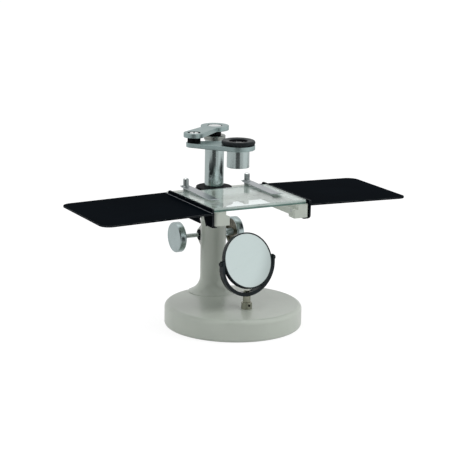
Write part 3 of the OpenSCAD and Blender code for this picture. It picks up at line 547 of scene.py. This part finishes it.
KNOB_CHROME = Turned("knob_chrome", (0.43, 0.51, 0.51), rough=0.24)
KNOB_BACK = Turned("knob_back", (0.17, 0.165, 0.125), rough=0.34, depth=0.02, mottle=0.6)
STUD_STEEL = Turned("stud_steel", (0.43, 0.47, 0.47), rough=0.30)
CAP_CHROME = Turned("cap_chrome", (0.30, 0.32, 0.30), rough=0.22)
POLISHED = Turned("polished_head", (0.88, 0.92, 0.92), rough=0.06, depth=0.002)
SCREW_CHROME = Turned("screw_chrome", (0.58, 0.62, 0.62), rough=0.12)
NICKEL = Turned("socket_nickel", (0.32, 0.325, 0.265), rough=0.2)
# Matt black: the colour of the lens spacer, retainer and socket screw, and painted shade where it
# is laid on recess and socket walls, the barrel's bore and the eye ring's mouth.
BLACKING_AND_SHADE = Moulded("blacking_and_painted_shade", (0.004, 0.004, 0.005), rough=0.6, gloss=0.0, film=0.01)
BLACK_PLASTIC = Moulded("nylon_black", (0.003, 0.004, 0.005), rough=0.3, gloss=0.0, film=0.12)
EYE_RUBBER = Moulded("eye_rubber", (0.004, 0.008, 0.010), rough=0.40, grain=700.0, gloss=0.25)
PAD_RUBBER = Moulded("pad_rubber", (0.02, 0.02, 0.02), rough=0.75, grain=500.0, depth=0.15)
STAGE_GLASS = ClearGlass("plate_glass", (0.86, 0.935, 0.93))
GLASS_EDGE = GroundGlass("plate_edge", (0.10, 0.21, 0.18))
LENS_GLASS = ClearGlass("polished_lens", (0.95, 0.97, 0.98), index=1.52)
SILVER = Silvered("silvered_face", (0.58, 0.67, 0.66))


# Meshes


def stand_at(x: float, y: float, z: float, axis: Axis = Axis.UP) -> Matrix:
    """Where a piece goes: its origin in millimetres, and where its own Z axis points."""
    return Matrix.Translation(Vector((x, y, z)) * MM) @ Matrix.Rotation(axis.value, 4, "Y")


def show(name: str, data: bpy.types.ID) -> bpy.types.Object:
    """Puts a new object with this data into the scene."""
    bpy.context.scene.collection.objects.link(made := bpy.data.objects.new(name, data))
    return made


class Shape:
    """A mesh under construction, in millimetres."""

    def __init__(self) -> None:
        """Starts an empty mesh."""
        self.bm = bmesh.new()

    def lathe(self, profile: Sequence[Point], steps: int = 96,
              rim: Callable[[float, float, float], float] | None = None) -> "Shape":
        """Turns a profile about Z.

        Args:
            profile: Points (radius, height). A closed ring's profile repeats its first point.
            steps: Number of segments round the axis.
            rim: Gives a radius from radius, height and angle, for ribs.

        Returns:
            The shape itself.
        """
        rings = []
        for radius, z in profile:
            if radius < 1e-6:
                rings.append([self.bm.verts.new((0, 0, z))])
                continue
            ring = []
            for k in range(steps):
                angle = 2 * math.pi * k / steps
                r = rim(radius, z, angle) if rim else radius
                ring.append(self.bm.verts.new((r * math.cos(angle), r * math.sin(angle), z)))
            rings.append(ring)
        for low, high in zip(rings, rings[1:]):
            for k in range(steps):
                a, b = low[k % len(low)], low[(k + 1) % len(low)]
                c, d = high[(k + 1) % len(high)], high[k % len(high)]
                corners = list(dict.fromkeys((a, b, c, d)))
                if len(corners) > 2:
                    self.bm.faces.new(corners)
        bmesh.ops.remove_doubles(self.bm, verts=self.bm.verts, dist=1e-5)
        return self

    def prism(self, outline: Sequence[Point], low: float, high: float) -> "Shape":
        """A straight block on an outline.

        Args:
            outline: Points (x, y).
            low: Height of its foot.
            high: Height of its top.

        Returns:
            The shape itself.
        """
        foot = [self.bm.verts.new((x, y, low)) for x, y in outline]
        top = [self.bm.verts.new((x, y, high)) for x, y in outline]
        self.bm.faces.new(list(reversed(foot)))
        self.bm.faces.new(top)
        for k in range(len(foot)):
            n = (k + 1) % len(foot)
            self.bm.faces.new((foot[k], foot[n], top[n], top[k]))
        return self

    def ease(self, width: float, steps: int = 2, angle: float = 60.0) -> "Shape":
        """Rounds every edge sharper than an angle.

        Args:
            width: Width of the rounding.
            steps: Segments across it.
            angle: Least angle between two faces, in degrees.

        Returns:
            The shape itself.
        """
        bmesh.ops.recalc_face_normals(self.bm, faces=self.bm.faces)
        least = math.radians(angle)
        sharp = [e for e in self.bm.edges if e.is_manifold and e.calc_face_angle(0) > least]
        bmesh.ops.bevel(self.bm, geom=sharp, offset=width, segments=steps, profile=0.5,
                        affect="EDGES", clamp_overlap=True)
        return self

    def slot(self, width: float, floor: float, turn: float, above: float) -> "Shape":
        """Sinks a screwdriver slot into the top.

        Args:
            width: Width of the slot.
            floor: Height of its floor.
            turn: Direction of the slot in degrees.
            above: Only what lies higher than this is sunk.

        Returns:
            The shape itself.
        """
        angle = math.radians(turn)
        side = Vector((-math.sin(angle), math.cos(angle), 0))
        for offset in (-width / 2 - 0.04, -width / 2, width / 2, width / 2 + 0.04):
            geometry = [*self.bm.verts, *self.bm.edges, *self.bm.faces]
            bmesh.ops.bisect_plane(self.bm, geom=geometry, plane_co=side * offset,
                                   plane_no=side, dist=1e-5)
        for vert in self.bm.verts:
            if abs(side.dot(vert.co)) < width / 2 + 1e-3 and vert.co.z > max(floor, above):
                vert.co.z = floor
        bmesh.ops.remove_doubles(self.bm, verts=self.bm.verts, dist=1e-4)
        return self

    def piece(self, name: str, body: str, finish: Finish, slot: str,
              place: Matrix | None = None, stands_for: Iterable[str] = (),
              crease: float = CREASE) -> bpy.types.Object:
        """Makes the shape a piece that rides on a body.

        Args:
            name: Name of the piece.
            body: The body that it rides on.
            finish: Its finish.
            slot: The record's material slot; not used.
            place: Where its own axes are.
            stands_for: Nodes that it replaces.
            crease: Angle above which an edge stays sharp, in degrees.

        Returns:
            The piece.
        """
        bmesh.ops.recalc_face_normals(self.bm, faces=self.bm.faces)
        self.bm.transform(Matrix.Scale(MM, 4))
        mesh = bpy.data.meshes.new(name)
        self.bm.to_mesh(mesh)
        self.bm.free()
        mesh.materials.append(finish.material())
        mesh.shade_smooth()
        mesh.set_sharp_from_angle(angle=math.radians(crease))
        made = show(name, mesh)
        made.matrix_world = place or Matrix.Identity(4)
        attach(made, body)
        if stands_for:
            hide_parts(*stands_for)
        LOG.info("%s rides on %s, %d faces", name, body, len(mesh.polygons))
        return made


def repaint(piece: bpy.types.Object, finish: Finish,
            where: Callable[[Vector, Vector], bool]) -> None:
    """Gives some faces of a piece a second finish.

    Args:
        piece: The piece.
        finish: The second finish.
        where: Tests a face's middle, in millimetres, and its normal.
    """
    mesh = piece.data
    mesh.materials.append(finish.material())
    second = len(mesh.materials) - 1
    for face in mesh.polygons:
        if where(face.center / MM, face.normal):
            face.material_index = second


# Sub-assemblies


@dataclass
class Assembly:
    """One part of the instrument, with the sizes that more than one part needs."""

    nodes: dict[str, bpy.types.Object]
    post_y: float = 39.8
    link_top: float = 170.1
    recess: float = 1.5

    def dress(self, name: str, finish: Finish, slot: str, ease: float = 0.0,
              steps: int = 2) -> bpy.types.Object:
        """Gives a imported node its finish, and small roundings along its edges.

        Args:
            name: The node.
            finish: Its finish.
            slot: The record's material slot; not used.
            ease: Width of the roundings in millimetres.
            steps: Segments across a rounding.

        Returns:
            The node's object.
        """
        node = self.nodes[name]
        mesh = node.data
        mesh.materials.clear()
        mesh.materials.append(finish.material())
        if ease > 0:
            if mesh.has_custom_normals:
                mesh.attributes.remove(mesh.attributes["custom_normal"])
            mesh.shade_smooth()
            node.modifiers.new("weld", "WELD").merge_threshold = WELD_GAP
            flat = node.modifiers.new("flat", "DECIMATE")
            flat.decimate_type = "DISSOLVE"
            flat.angle_limit = math.radians(FLAT_ANGLE)
            bevel = node.modifiers.new("ease", "BEVEL")
            bevel.width = ease * MM
            bevel.segments = steps
            bevel.limit_method = "ANGLE"
            bevel.angle_limit = math.radians(CREASE)
            bevel.use_clamp_overlap = True
            node.modifiers.new("even", "WEIGHTED_NORMAL").weight = FLAT_WEIGHT
        LOG.info("%s keeps its packed shape", name)
        return node


class Stand(Assembly):
    """Base, pillar and what is fixed to them."""

    def build(self) -> None:
        """Dresses the base, the pillar and their small parts."""
        self.dress("base", GREY_ENAMEL, "grey_paint")
        self.dress("base_pad", PAD_RUBBER, "rubber", 0.4)
        self.dress("pillar", GREY_ENAMEL, "grey_paint")
        self.dress("pillar_bolt", STEEL, "steel", 0.3)
        self.dress("pillar_washer", STEEL, "steel", 0.2)
        self.dress("guide_bush", BLACK_PLASTIC, "black_plastic", 0.35)
        self.dress("pinion_bushes", BLACK_PLASTIC, "black_plastic", 0.15)


@dataclass
class Stage(Assembly):
    """The stage casting with its glass, screws, clips and hand rests."""

    glass_x: float = 44.5
    glass_front: float = 46.5
    glass_back: float = 23.6
    glass_low: float = 113.43
    glass_high: float = 116.9
    glass_corner: float = 1.5
    corner_steps: int = 6
    ground_edge: float = 0.35
    glass_crease: float = 8.0
    stud_x: float = 30.15
    stud_y: float = 34.8
    leaf_top: float = 118.9
    wire_z: float = 119.6
    wire_r: float = 0.3
    wire_len: float = 3.2
    rest_out: float = 46.9
    rest_top: float = 113.4
    rest_front: float = -49.6
    rest_back: float = 42.0
    seam_r: float = 0.32
    grub_x: float = 31.0
    grub_y: float = -43.6
    grub_z: float = 108.2

    def glass(self) -> None:
        """The glass plate, with ground edges that look green from the side."""
        r, outline = self.glass_corner, []
        x, low, high = self.glass_x - r, r - self.glass_front, self.glass_back - r
        for i, (across, along) in enumerate(((-x, low), (x, low), (x, high), (-x, high))):
            for k in range(self.corner_steps + 1):
                angle = math.pi * (1 + (i + k / self.corner_steps) / 2)
                outline.append((across + r * math.cos(angle), along + r * math.sin(angle)))
        shape = Shape().prism(outline, self.glass_low, self.glass_high).ease(self.ground_edge)
        plate = shape.piece("stage_plate", "stand", STAGE_GLASS, "stage_glass",
                            stands_for=["stage_glass"], crease=self.glass_crease)
        repaint(plate, GLASS_EDGE, lambda _, normal: abs(normal.z) < 0.95)
        plate.visible_shadow = plate.visible_diffuse = False

    def clip_trim(self, side: Side) -> None:
        """The spring washer and the wire pin at a stud.

        Args:
            side: The stud's side.
        """
        place = stand_at(side.value * self.stud_x, self.stud_y, self.leaf_top)
        washer = [(2.53, 0.03), (3.3, 0.03), (3.55, 0.25), (3.3, 0.55), (2.75, 0.7), (2.53, 0.7),
                  (2.53, 0.03)]
        Shape().lathe(washer, 48).piece(side.of("clip_washer"), side.of("clip"), SCREW_CHROME,
                                        "chrome", place)
        wire = [(0, 0), (self.wire_r, 0), (self.wire_r, 2.3), (self.wire_r, 2.3 + self.wire_len),
                (self.wire_r * 0.6, 2.55 + self.wire_len), (0, 2.6 + self.wire_len)]
        place = stand_at(side.value * self.stud_x, self.stud_y, self.wire_z, Axis.LEFT)
        Shape().lathe(wire, 16).piece(side.of("clip_wire"), side.of("clip"), STUD_STEEL, "steel",
                                      place)

    def seam(self, side: Side) -> None:
        """A lighter bead along the fold between a rest and its lip: a painted highlight where the
        bend catches the light, with its edges rubbed to steel in places.

        Args:
            side: The rest's side.
        """
        length = self.rest_back - self.rest_front
        r = self.seam_r
        profile = [(0, 0), (r * 0.7, 0.1), (r, 0.4), (r, length / 2), (r, length - 0.4),
                   (r * 0.7, length - 0.1), (0, length)]
        turn = Matrix.Rotation(-math.pi / 2, 4, "X")
        spot = Vector((side.value * self.rest_out, self.rest_front, self.rest_top)) * MM
        Shape().lathe(profile, 16).piece(side.of("rest_seam"), side.of("rest"), FOLD_HIGHLIGHT,
                                         "black_paint", Matrix.Translation(spot) @ turn)

    def grub(self, side: Side) -> None:
        """The socket screw that locks a rest's pin, on the inner side of the stage arm.

        Args:
            side: The rest's side.
        """
        head = [(0, -0.9), (0.75, -0.9), (0.75, 0.02), (0.95, 0.1), (1.35, 0.1), (1.5, 0.0),
                (1.5, -0.6)]
        axis = Axis.RIGHT if side is Side.LEFT else Axis.LEFT
        place = stand_at(side.value * self.grub_x, self.grub_y, self.grub_z, axis)
        made = Shape().lathe(head, 24).piece(side.of("rest_grub"), "stand", STEEL, "steel", place)
        # The hex socket is painted matt black: painted shade down in the socket.
        repaint(made, BLACKING_AND_SHADE, lambda middle, _: math.hypot(middle.x, middle.y) < 0.8)

    def build(self) -> None:
        """Dresses the casting and builds what lies on it."""
        self.dress("stage_casting", GREY_ENAMEL, "grey_paint", 0.5, 3)
        self.dress("stage_screws", STEEL, "steel", 0.2)
        self.glass()
        for side in Side:
            self.dress(side.of("hand_rest"), BLACK_SHEET, "black_paint", 0.35, 3)
            self.dress(side.of("rest_pins"), BLACK_SHEET, "black_paint", 0.2)
            stud = self.dress(side.of("clip_stud"), STUD_STEEL, "chrome", 0.25)
            # The up-facing faces of the crown take the bright polished finish: a painted highlight
            # where the dome catches the light from above.
            repaint(stud, POLISHED, lambda middle, normal: normal.z > 0.3
                    and middle.z > self.leaf_top)
            self.dress(side.of("clip_leaf"), LEAF_STEEL, "steel", 0.15)
            self.clip_trim(side)
            self.seam(side)
            self.grub(side)


@dataclass
class FocusDrive(Assembly):
    """The focusing post, its rack, and the pinion with its knobs."""

    post_top: float = 157.6
    cap_r: float = 9.5
    cap_t: float = 4.0
    groove_in: float = 0.35
    plug_r: float = 5.45
    plug_len: float = 8.0
    screw_r: float = 3.5
    head_r: float = 5.9
    knob_y: float = 54.0
    knob_z: float = 69.0
    knob_r: float = 13.5
    knob_face: float = 32.0
    knob_t: float = 6.5
    hub_r: float = 3.2
    hub_len: float = 5.0
    bore_r: float = 2.05
    hollow: float = 1.9
    wall: float = 1.6

    def cap(self) -> None:
        """The turned cap on the post, with a groove round it."""
        low, high, r = 0.0, self.cap_t, self.cap_r
        bore = self.screw_r + 0.06
        profile = [(bore, -self.plug_len), (self.plug_r - 0.4, -self.plug_len),
                   (self.plug_r, 0.4 - self.plug_len), (self.plug_r, low), (r - 0.3, low),
                   (r, low + 0.3), (r, 1.5), (r - self.groove_in, 1.62),
                   (r - self.groove_in, 1.95), (r, 2.07), (r, high - 0.45), (r - 0.45, high),
                   (bore + 0.3, high), (bore, high - 0.3), (bore, -self.plug_len)]
        place = stand_at(0, self.post_y, self.post_top)
        Shape().lathe(profile).piece("turned_cap", "post", CAP_CHROME, "chrome", place,
                                     ["post_cap"])

    def screw(self) -> None:
        """The flush screw that carries the link, with a chamfered head."""
        low = self.link_top - self.recess + 0.05 - self.post_top
        top = self.link_top - self.post_top - 0.25
        r = self.head_r
        profile = [(0, -self.plug_len), (self.screw_r - 0.4, -self.plug_len),
                   (self.screw_r, 0.4 - self.plug_len), (self.screw_r, low), (r, low),
                   (r, top - 0.35), (r - 0.4, top), (r * 0.5, top + 0.08), (0, top + 0.1)]
        place = stand_at(0, self.post_y, self.post_top)
        Shape().lathe(profile).piece("link_pivot_screw", "post", POLISHED, "chrome", place,
                                     ["post_screw"])

    def knob(self, side: Side) -> None:
        """A turned knob with a faced front and a hollow back.

        Args:
            side: The knob's side.
        """
        face, back, r = self.knob_face, self.knob_face - self.knob_t, self.knob_r
        low = back - self.hub_len
        deep = back + self.hollow
        profile = [(0, face - 0.25), (r * 0.45, face - 0.25), (r - 2.0, face - 0.22),
                   (r - 1.75, face - 0.02), (r - 1.1, face), (r - 0.65, face - 0.12),
                   (r - 0.12, face - 0.7), (r, face - 1.1), (r, back + 1.0), (r - 0.15, back + 0.5),
                   (r - 0.7, back), (r - self.wall, back), (r - 1.9, back + 0.3),
                   (r - 2.4, deep), (self.hub_r + 1.6, deep), (self.hub_r + 0.4, deep - 0.5),
                   (self.hub_r, deep - 1.2), (self.hub_r, low + 0.4), (self.hub_r - 0.4, low),
                   (self.bore_r, low), (self.bore_r, back)]
        place = stand_at(0, self.knob_y, self.knob_z,
                         Axis.RIGHT if side is Side.RIGHT else Axis.LEFT)
        made = Shape().lathe(profile, 128).piece(side.of("turned_knob"), "pinion", KNOB_CHROME,
                                                 "chrome", place, [side.of("knob")])
        repaint(made, KNOB_BACK, lambda middle, _: back + 0.1 < middle.z < deep + 0.2
                and math.hypot(middle.x, middle.y) < r - self.wall)

    def build(self) -> None:
        """Dresses the post and the drive."""
        self.dress("focus_post", POST_CHROME, "chrome")
        self.dress("focus_rack", STEEL, "steel")
        self.dress("rack_screws", STEEL, "steel")
        self.dress("post_spacer", BLACK_PLASTIC, "black_plastic", 0.3)
        self.dress("pinion_shaft", SCREW_CHROME, "steel")
        self.dress("knob_screws", STEEL, "steel", 0.1)
        self.cap()
        self.screw()
        for side in Side:
            self.knob(side)


@dataclass
class LensArms(Assembly):
    """The link, the lens arm and the lens in its barrel."""

    joint_x: float = -32.9242
    joint_y: float = 14.5364
    recess_r: float = 7.2
    lens_x: float = -3.21
    lens_y: float = -10.57
    arm_low: float = 157.6
    arm_top: float = 161.6
    shank_r: float = 2.5
    head_r: float = 4.0
    slot_w: float = 1.2
    slot_deep: float = 0.9
    slot_turn: float = 62.0
    ring_r: float = 14.5
    ring_t: float = 4.0
    round_r: float = 1.9
    hole_r: float = 6.2
    mouth_w: float = 1.6
    barrel_r: float = 9.75
    barrel_up: float = 2.25
    ribs: int = 72
    rib_deep: float = 0.22

    def in_recess(self, middle: Vector, normal: Vector) -> bool:
        """Whether a face of the link, by its middle and normal, is a wall round a screw."""
        outs = (middle.xy - Vector(p) for p in ((self.joint_x, self.joint_y), (0.0, self.post_y)))
        return any(out.length < self.recess_r and out.dot(normal.xy) < 0 for out in outs)

    def pivot(self) -> None:
        """The slotted screw that joins the arm to the link."""
        low, top = self.link_top - self.recess + 0.05, self.link_top + 0.05
        r = self.head_r
        profile = [(0, self.arm_low), (self.shank_r - 0.3, self.arm_low),
                   (self.shank_r, self.arm_low + 0.3), (self.shank_r, low), (r, low),
                   (r, top - 0.7), (r - 0.25, top - 0.4), (r * 0.75, top - 0.14),
                   (r * 0.45, top - 0.03), (0, top)]
        shape = Shape().lathe(profile, 72)
        shape.slot(self.slot_w, top - self.slot_deep, self.slot_turn, low + 0.2)
        shape.piece("arm_pivot_screw", "arm", POLISHED, "chrome",
                    stand_at(self.joint_x, self.joint_y, 0), ["link_screw"])

    def eye(self) -> None:
        """The eye ring: a ribbed rim, a crown and a dished mouth."""
        r, t, hole, e = self.ring_r, self.ring_t, self.hole_r, self.round_r
        turns = [math.pi * k / 16 for k in range(9)]
        arc = [(r - e + e * math.sin(a), e - e * math.cos(a)) for a in turns]
        crown = [(r - e + e * math.cos(a), t - e + e * math.sin(a)) for a in turns]
        profile = [(self.barrel_r, 0), *arc, *crown, (r - 3.2, t - 0.02), (r - 4.4, t - 0.14),
                   (r - 5.5, t - 0.38), (r - 6.5, t - 0.75), (hole + 1.0, t - 1.15),
                   (hole + 0.4, t - 1.45), (hole + 0.05, t - 1.6), (hole, self.barrel_up + 0.05),
                   (self.barrel_r, self.barrel_up + 0.05), (self.barrel_r, 0)]

        def rim(radius: float, z: float, angle: float) -> float:
            """Radius with the ribs of the outer rim."""
            ribbed = radius > r - 0.5 and 0.4 < z < t - 0.4
            return radius - ribbed * self.rib_deep * (1 - abs(math.sin(angle * self.ribs / 2)))

        place = stand_at(self.lens_x, self.lens_y, self.arm_top + 0.05)
        ring = Shape().lathe(profile, self.ribs * 6, rim).piece(
            "ribbed_eye_ring", "lens", EYE_RUBBER, "black_plastic", place, ["eye_ring"])
        # The mouth is painted matt black: painted shade down in the hole.
        repaint(ring, BLACKING_AND_SHADE, lambda middle, _: math.hypot(middle.x, middle.y)
                < hole + self.mouth_w)

    def build(self) -> None:
        """Dresses the two bars, their screws and the lens."""
        link = self.dress("link_bar", LINK_CHROME, "chrome", 0.45, 3)
        floor = self.link_top - self.recess
        # The walls round the screw heads are painted matt black: painted shade in the recesses.
        repaint(link, BLACKING_AND_SHADE, lambda middle, normal: abs(normal.z) < 0.5
                and floor < middle.z < self.link_top and self.in_recess(middle, normal))
        self.dress("lens_arm", ARM_CHROME, "chrome", 0.45, 3)
        self.dress("arm_spacer", BLACK_PLASTIC, "black_plastic", 0.4)
        barrel = self.dress("lens_barrel", BARREL_CHROME, "chrome", 0.2)
        axis = Vector((self.lens_x, self.lens_y, 0))
        # The barrel's inner walls are painted matt black: blacking, and painted shade inside the
        # bore.
        repaint(barrel, BLACKING_AND_SHADE, lambda middle, normal: abs(normal.z) < 0.5
                and (middle - axis).xy.dot(normal.xy) < 0)
        for lens in ("upper_lens", "lower_lens"):
            made = self.dress(lens, LENS_GLASS, "lens_glass")
            made.visible_shadow = made.visible_diffuse = False
        self.dress("lens_spacer", BLACKING_AND_SHADE, "black_plastic")
        self.dress("lens_retainer", BLACKING_AND_SHADE, "black_plastic", 0.15)
        self.pivot()
        self.eye()


@dataclass
class MirrorUnit(Assembly):
    """The mirror in its cell, fork, stem and socket."""

    pivot: Tone = (0.0, -25.0, 62.8)
    fork_turn: float = 6.2
    tilt: float = 18.0
    front: float = 1.5
    curve: float = 140.0
    radius: float = 23.45
    edge: float = 4.0
    rings: int = 14

    def mirror(self) -> None:
        """The hollow mirror, silvered on its ground face."""
        sag = self.curve - math.sqrt(self.curve ** 2 - self.radius ** 2)
        face = []
        for k in range(self.rings + 1):
            r = (self.radius - 0.3) * k / self.rings
            face.append((r, self.front + self.curve - sag - math.sqrt(self.curve ** 2 - r ** 2)))
        back = self.front - self.edge
        profile = [(0, back), (self.radius - 0.4, back), (self.radius, back + 0.4),
                   (self.radius, self.front - 0.35), *reversed(face)]
        turn = Matrix.Rotation(math.radians(self.fork_turn), 4, "Z")
        tilt = Matrix.Rotation(math.radians(90 - self.tilt), 4, "X")
        place = Matrix.Translation(Vector(self.pivot) * MM) @ turn @ tilt
        Shape().lathe(profile, 128).piece("hollow_mirror", "mirror", SILVER, "mirror", place,
                                          ["mirror_glass"], crease=25.0)

    def build(self) -> None:
        """Dresses the mirror and what carries it."""
        self.dress("mirror_socket", NICKEL, "brass", 0.3)
        self.dress("socket_screw", BLACKING_AND_SHADE, "steel", 0.1)
        self.dress("fork_stem", NICKEL, "steel", 0.1)
        self.dress("mirror_fork", FORK_ENAMEL, "dark_steel", 0.45, 3)
        self.dress("pivot_screws", FORK_ENAMEL, "dark_steel", 0.15)
        self.dress("mirror_cell", FORK_ENAMEL, "dark_steel", 0.2)
        self.mirror()


# Camera, floor and light


@dataclass
class Studio:
    """The camera, the pale floor and the light."""

    eye: Tone = (-701.72, -1320.96, 437.57)
    yaw: float = 28.07
    pitch: float = 13.51
    roll: float = 1.05
    focal: float = 134.606
    sensor: float = 36.0
    clip: Point = (0.05, 50.0)
    floor_radius: float = 6000.0
    near_floor: float = 450.0
    fade: float = 1.1
    floor_drop: float = 0.1
    paper: float = 0.20
    glow: float = 0.87
    bounce: float = 0.75
    aim: Tone = (0.0, 0.0, 80.0)
    daylight: float = 0.92
    mirrored: float = 0.74
    front: float = 0.72
    right: float = 0.18
    strip: float = 0.78
    overhead: float = 0.8
    dark_azimuth: float = -121.0
    bright_azimuth: float = -38.0
    lamps: tuple[tuple[str, Tone, float, float], ...] = (
        ("key", (1100.0, -900.0, 1300.0), 900.0, 7.0),
        ("fill", (-1500.0, -100.0, 900.0), 1200.0, 3.5))

    def camera(self) -> None:
        """The camera, from the photograph's viewing angle."""
        yaw, pitch, roll = (math.radians(a) for a in (self.yaw, self.pitch, self.roll))
        turn = (Matrix.Rotation(-yaw, 4, "Z") @ Matrix.Rotation(math.pi / 2 - pitch, 4, "X")
                @ Matrix.Rotation(roll, 4, "Z"))
        data = bpy.data.cameras.new("camera")
        data.sensor_fit = "HORIZONTAL"
        data.sensor_width = self.sensor
        data.lens = self.focal
        data.clip_start, data.clip_end = self.clip
        made = show("camera", data)
        made.matrix_world = Matrix.Translation(Vector(self.eye) * MM) @ turn
        bpy.context.scene.camera = made

    @staticmethod
    def toward(spot: Wire, azimuth: float) -> Wire:
        """Cosine between a direction and a level azimuth, in degrees from +X."""
        x, y, _ = spot.parts()
        return x * math.cos(math.radians(azimuth)) + y * math.sin(math.radians(azimuth))

    def reflected(self, spot: Wire) -> Wire:
        """Brightness that metal sees: pale, dark at the lens side, bright overhead and right.

        Args:
            spot: The direction.

        Returns:
            The wire of the brightness.
        """
        x, y, z = spot.parts()
        level = (x * x + y * y + 1e-6) ** 0.5
        dark = self.toward(spot, self.dark_azimuth) / level
        dim = 1.0 - dark.step(0.91, 0.95) * self.strip - dark.step(0.35, 0.90) * 0.10
        box = self.toward(spot, self.bright_azimuth).step(0.80, 0.90) * 0.30
        return self.mirrored * (dim + z.step(0.80, 0.93) * self.overhead + box)

    def shone(self, spot: Wire) -> Wire:
        """Light that falls on the object from a direction: less from the lens side.

        Args:
            spot: The direction.

        Returns:
            The wire of the brightness.
        """
        front = self.toward(spot, self.dark_azimuth).step(0.2, 1.0) * self.front
        right = self.toward(spot, self.bright_azimuth).step(0.3, 1.0) * self.right
        return self.daylight * (1.0 - front + right)

    def floor(self) -> None:
        """A pale floor that keeps the object's shadow."""
        shape = Shape().lathe([(0, -self.floor_drop), (self.floor_radius, -self.floor_drop)], 64)
        shape.bm.transform(Matrix.Scale(MM, 4))
        mesh = bpy.data.meshes.new("floor")
        shape.bm.to_mesh(mesh)
        shape.bm.free()
        show("floor", mesh)
        material = bpy.data.materials.new("floor_paper")
        material.use_nodes = True
        desk = Desk(material.node_tree)
        x, y, _ = desk.place().parts()
        near = self.near_floor * MM
        far = ((x * x + y * y) ** 0.5).step(near, near * self.fade)
        shiny = desk.light_path("Is Glossy Ray")
        seen = desk.light_path("Is Camera Ray", "Is Transmission Ray")
        paper = desk.add("ShaderNodeBsdfDiffuse", feeds={"Color": (self.paper,) * 3})
        plain = desk.add("ShaderNodeBsdfDiffuse", feeds={"Color": (self.bounce,) * 3})
        pale, grey = (
            desk.add("ShaderNodeAddShader", feeds={
                0: paper, 1: desk.add("ShaderNodeEmission", feeds={"Strength": strength})})
            for strength in (self.glow, self.mirrored * self.bounce))
        polished = desk.blend(far, grey, desk.add("ShaderNodeBsdfTransparent"))
        desk.add_output(desk.blend(seen, desk.blend(shiny, plain, polished), pale))
        mesh.materials.append(material)

    def world(self) -> None:
        """White behind the object, and an even light on it."""
        world = bpy.data.worlds.new("studio")
        bpy.context.scene.world = world
        world.use_nodes = True
        desk = Desk(world.node_tree)
        spot = desk.add("ShaderNodeTexCoord", out="Generated")
        light, seen, white = (
            desk.add("ShaderNodeBackground", feeds={"Color": (1, 1, 1), "Strength": strength})
            for strength in (self.shone(spot), self.reflected(spot), 1.0))
        first = desk.blend(desk.light_path("Is Glossy Ray"), light, seen)
        camera = desk.light_path("Is Camera Ray", "Is Transmission Ray")
        desk.add_output(desk.blend(camera, first, white), "ShaderNodeOutputWorld")

    def lights(self) -> None:
        """Soft lamps, aimed at the stage."""
        for name, spot, width, power in self.lamps:
            data = bpy.data.lights.new(name, "AREA")
            data.shape = "DISK"
            data.size = width * MM
            data.energy = power
            made = show(name, data)
            made.location = Vector(spot) * MM
            aim = Vector(self.aim) * MM - made.location
            made.rotation_euler = aim.to_track_quat("-Z", "Y").to_euler()
            made.visible_glossy = False

    def build(self) -> None:
        """Sets up the view, the floor and the light."""
        bpy.context.scene.view_settings.view_transform = "Standard"
        self.camera()
        self.floor()
        self.world()
        self.lights()


def main() -> None:
    """Builds every sub-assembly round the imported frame."""
    logging.basicConfig(level=logging.INFO, format="%(message)s")
    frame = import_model()
    nodes = frame["nodes"]
    Studio().build()
    for part in (Stand, Stage, FocusDrive, LensArms, MirrorUnit):
        part(nodes).build()
        LOG.info("%s is built", part.__name__)


if __name__ == "__main__":
    main()
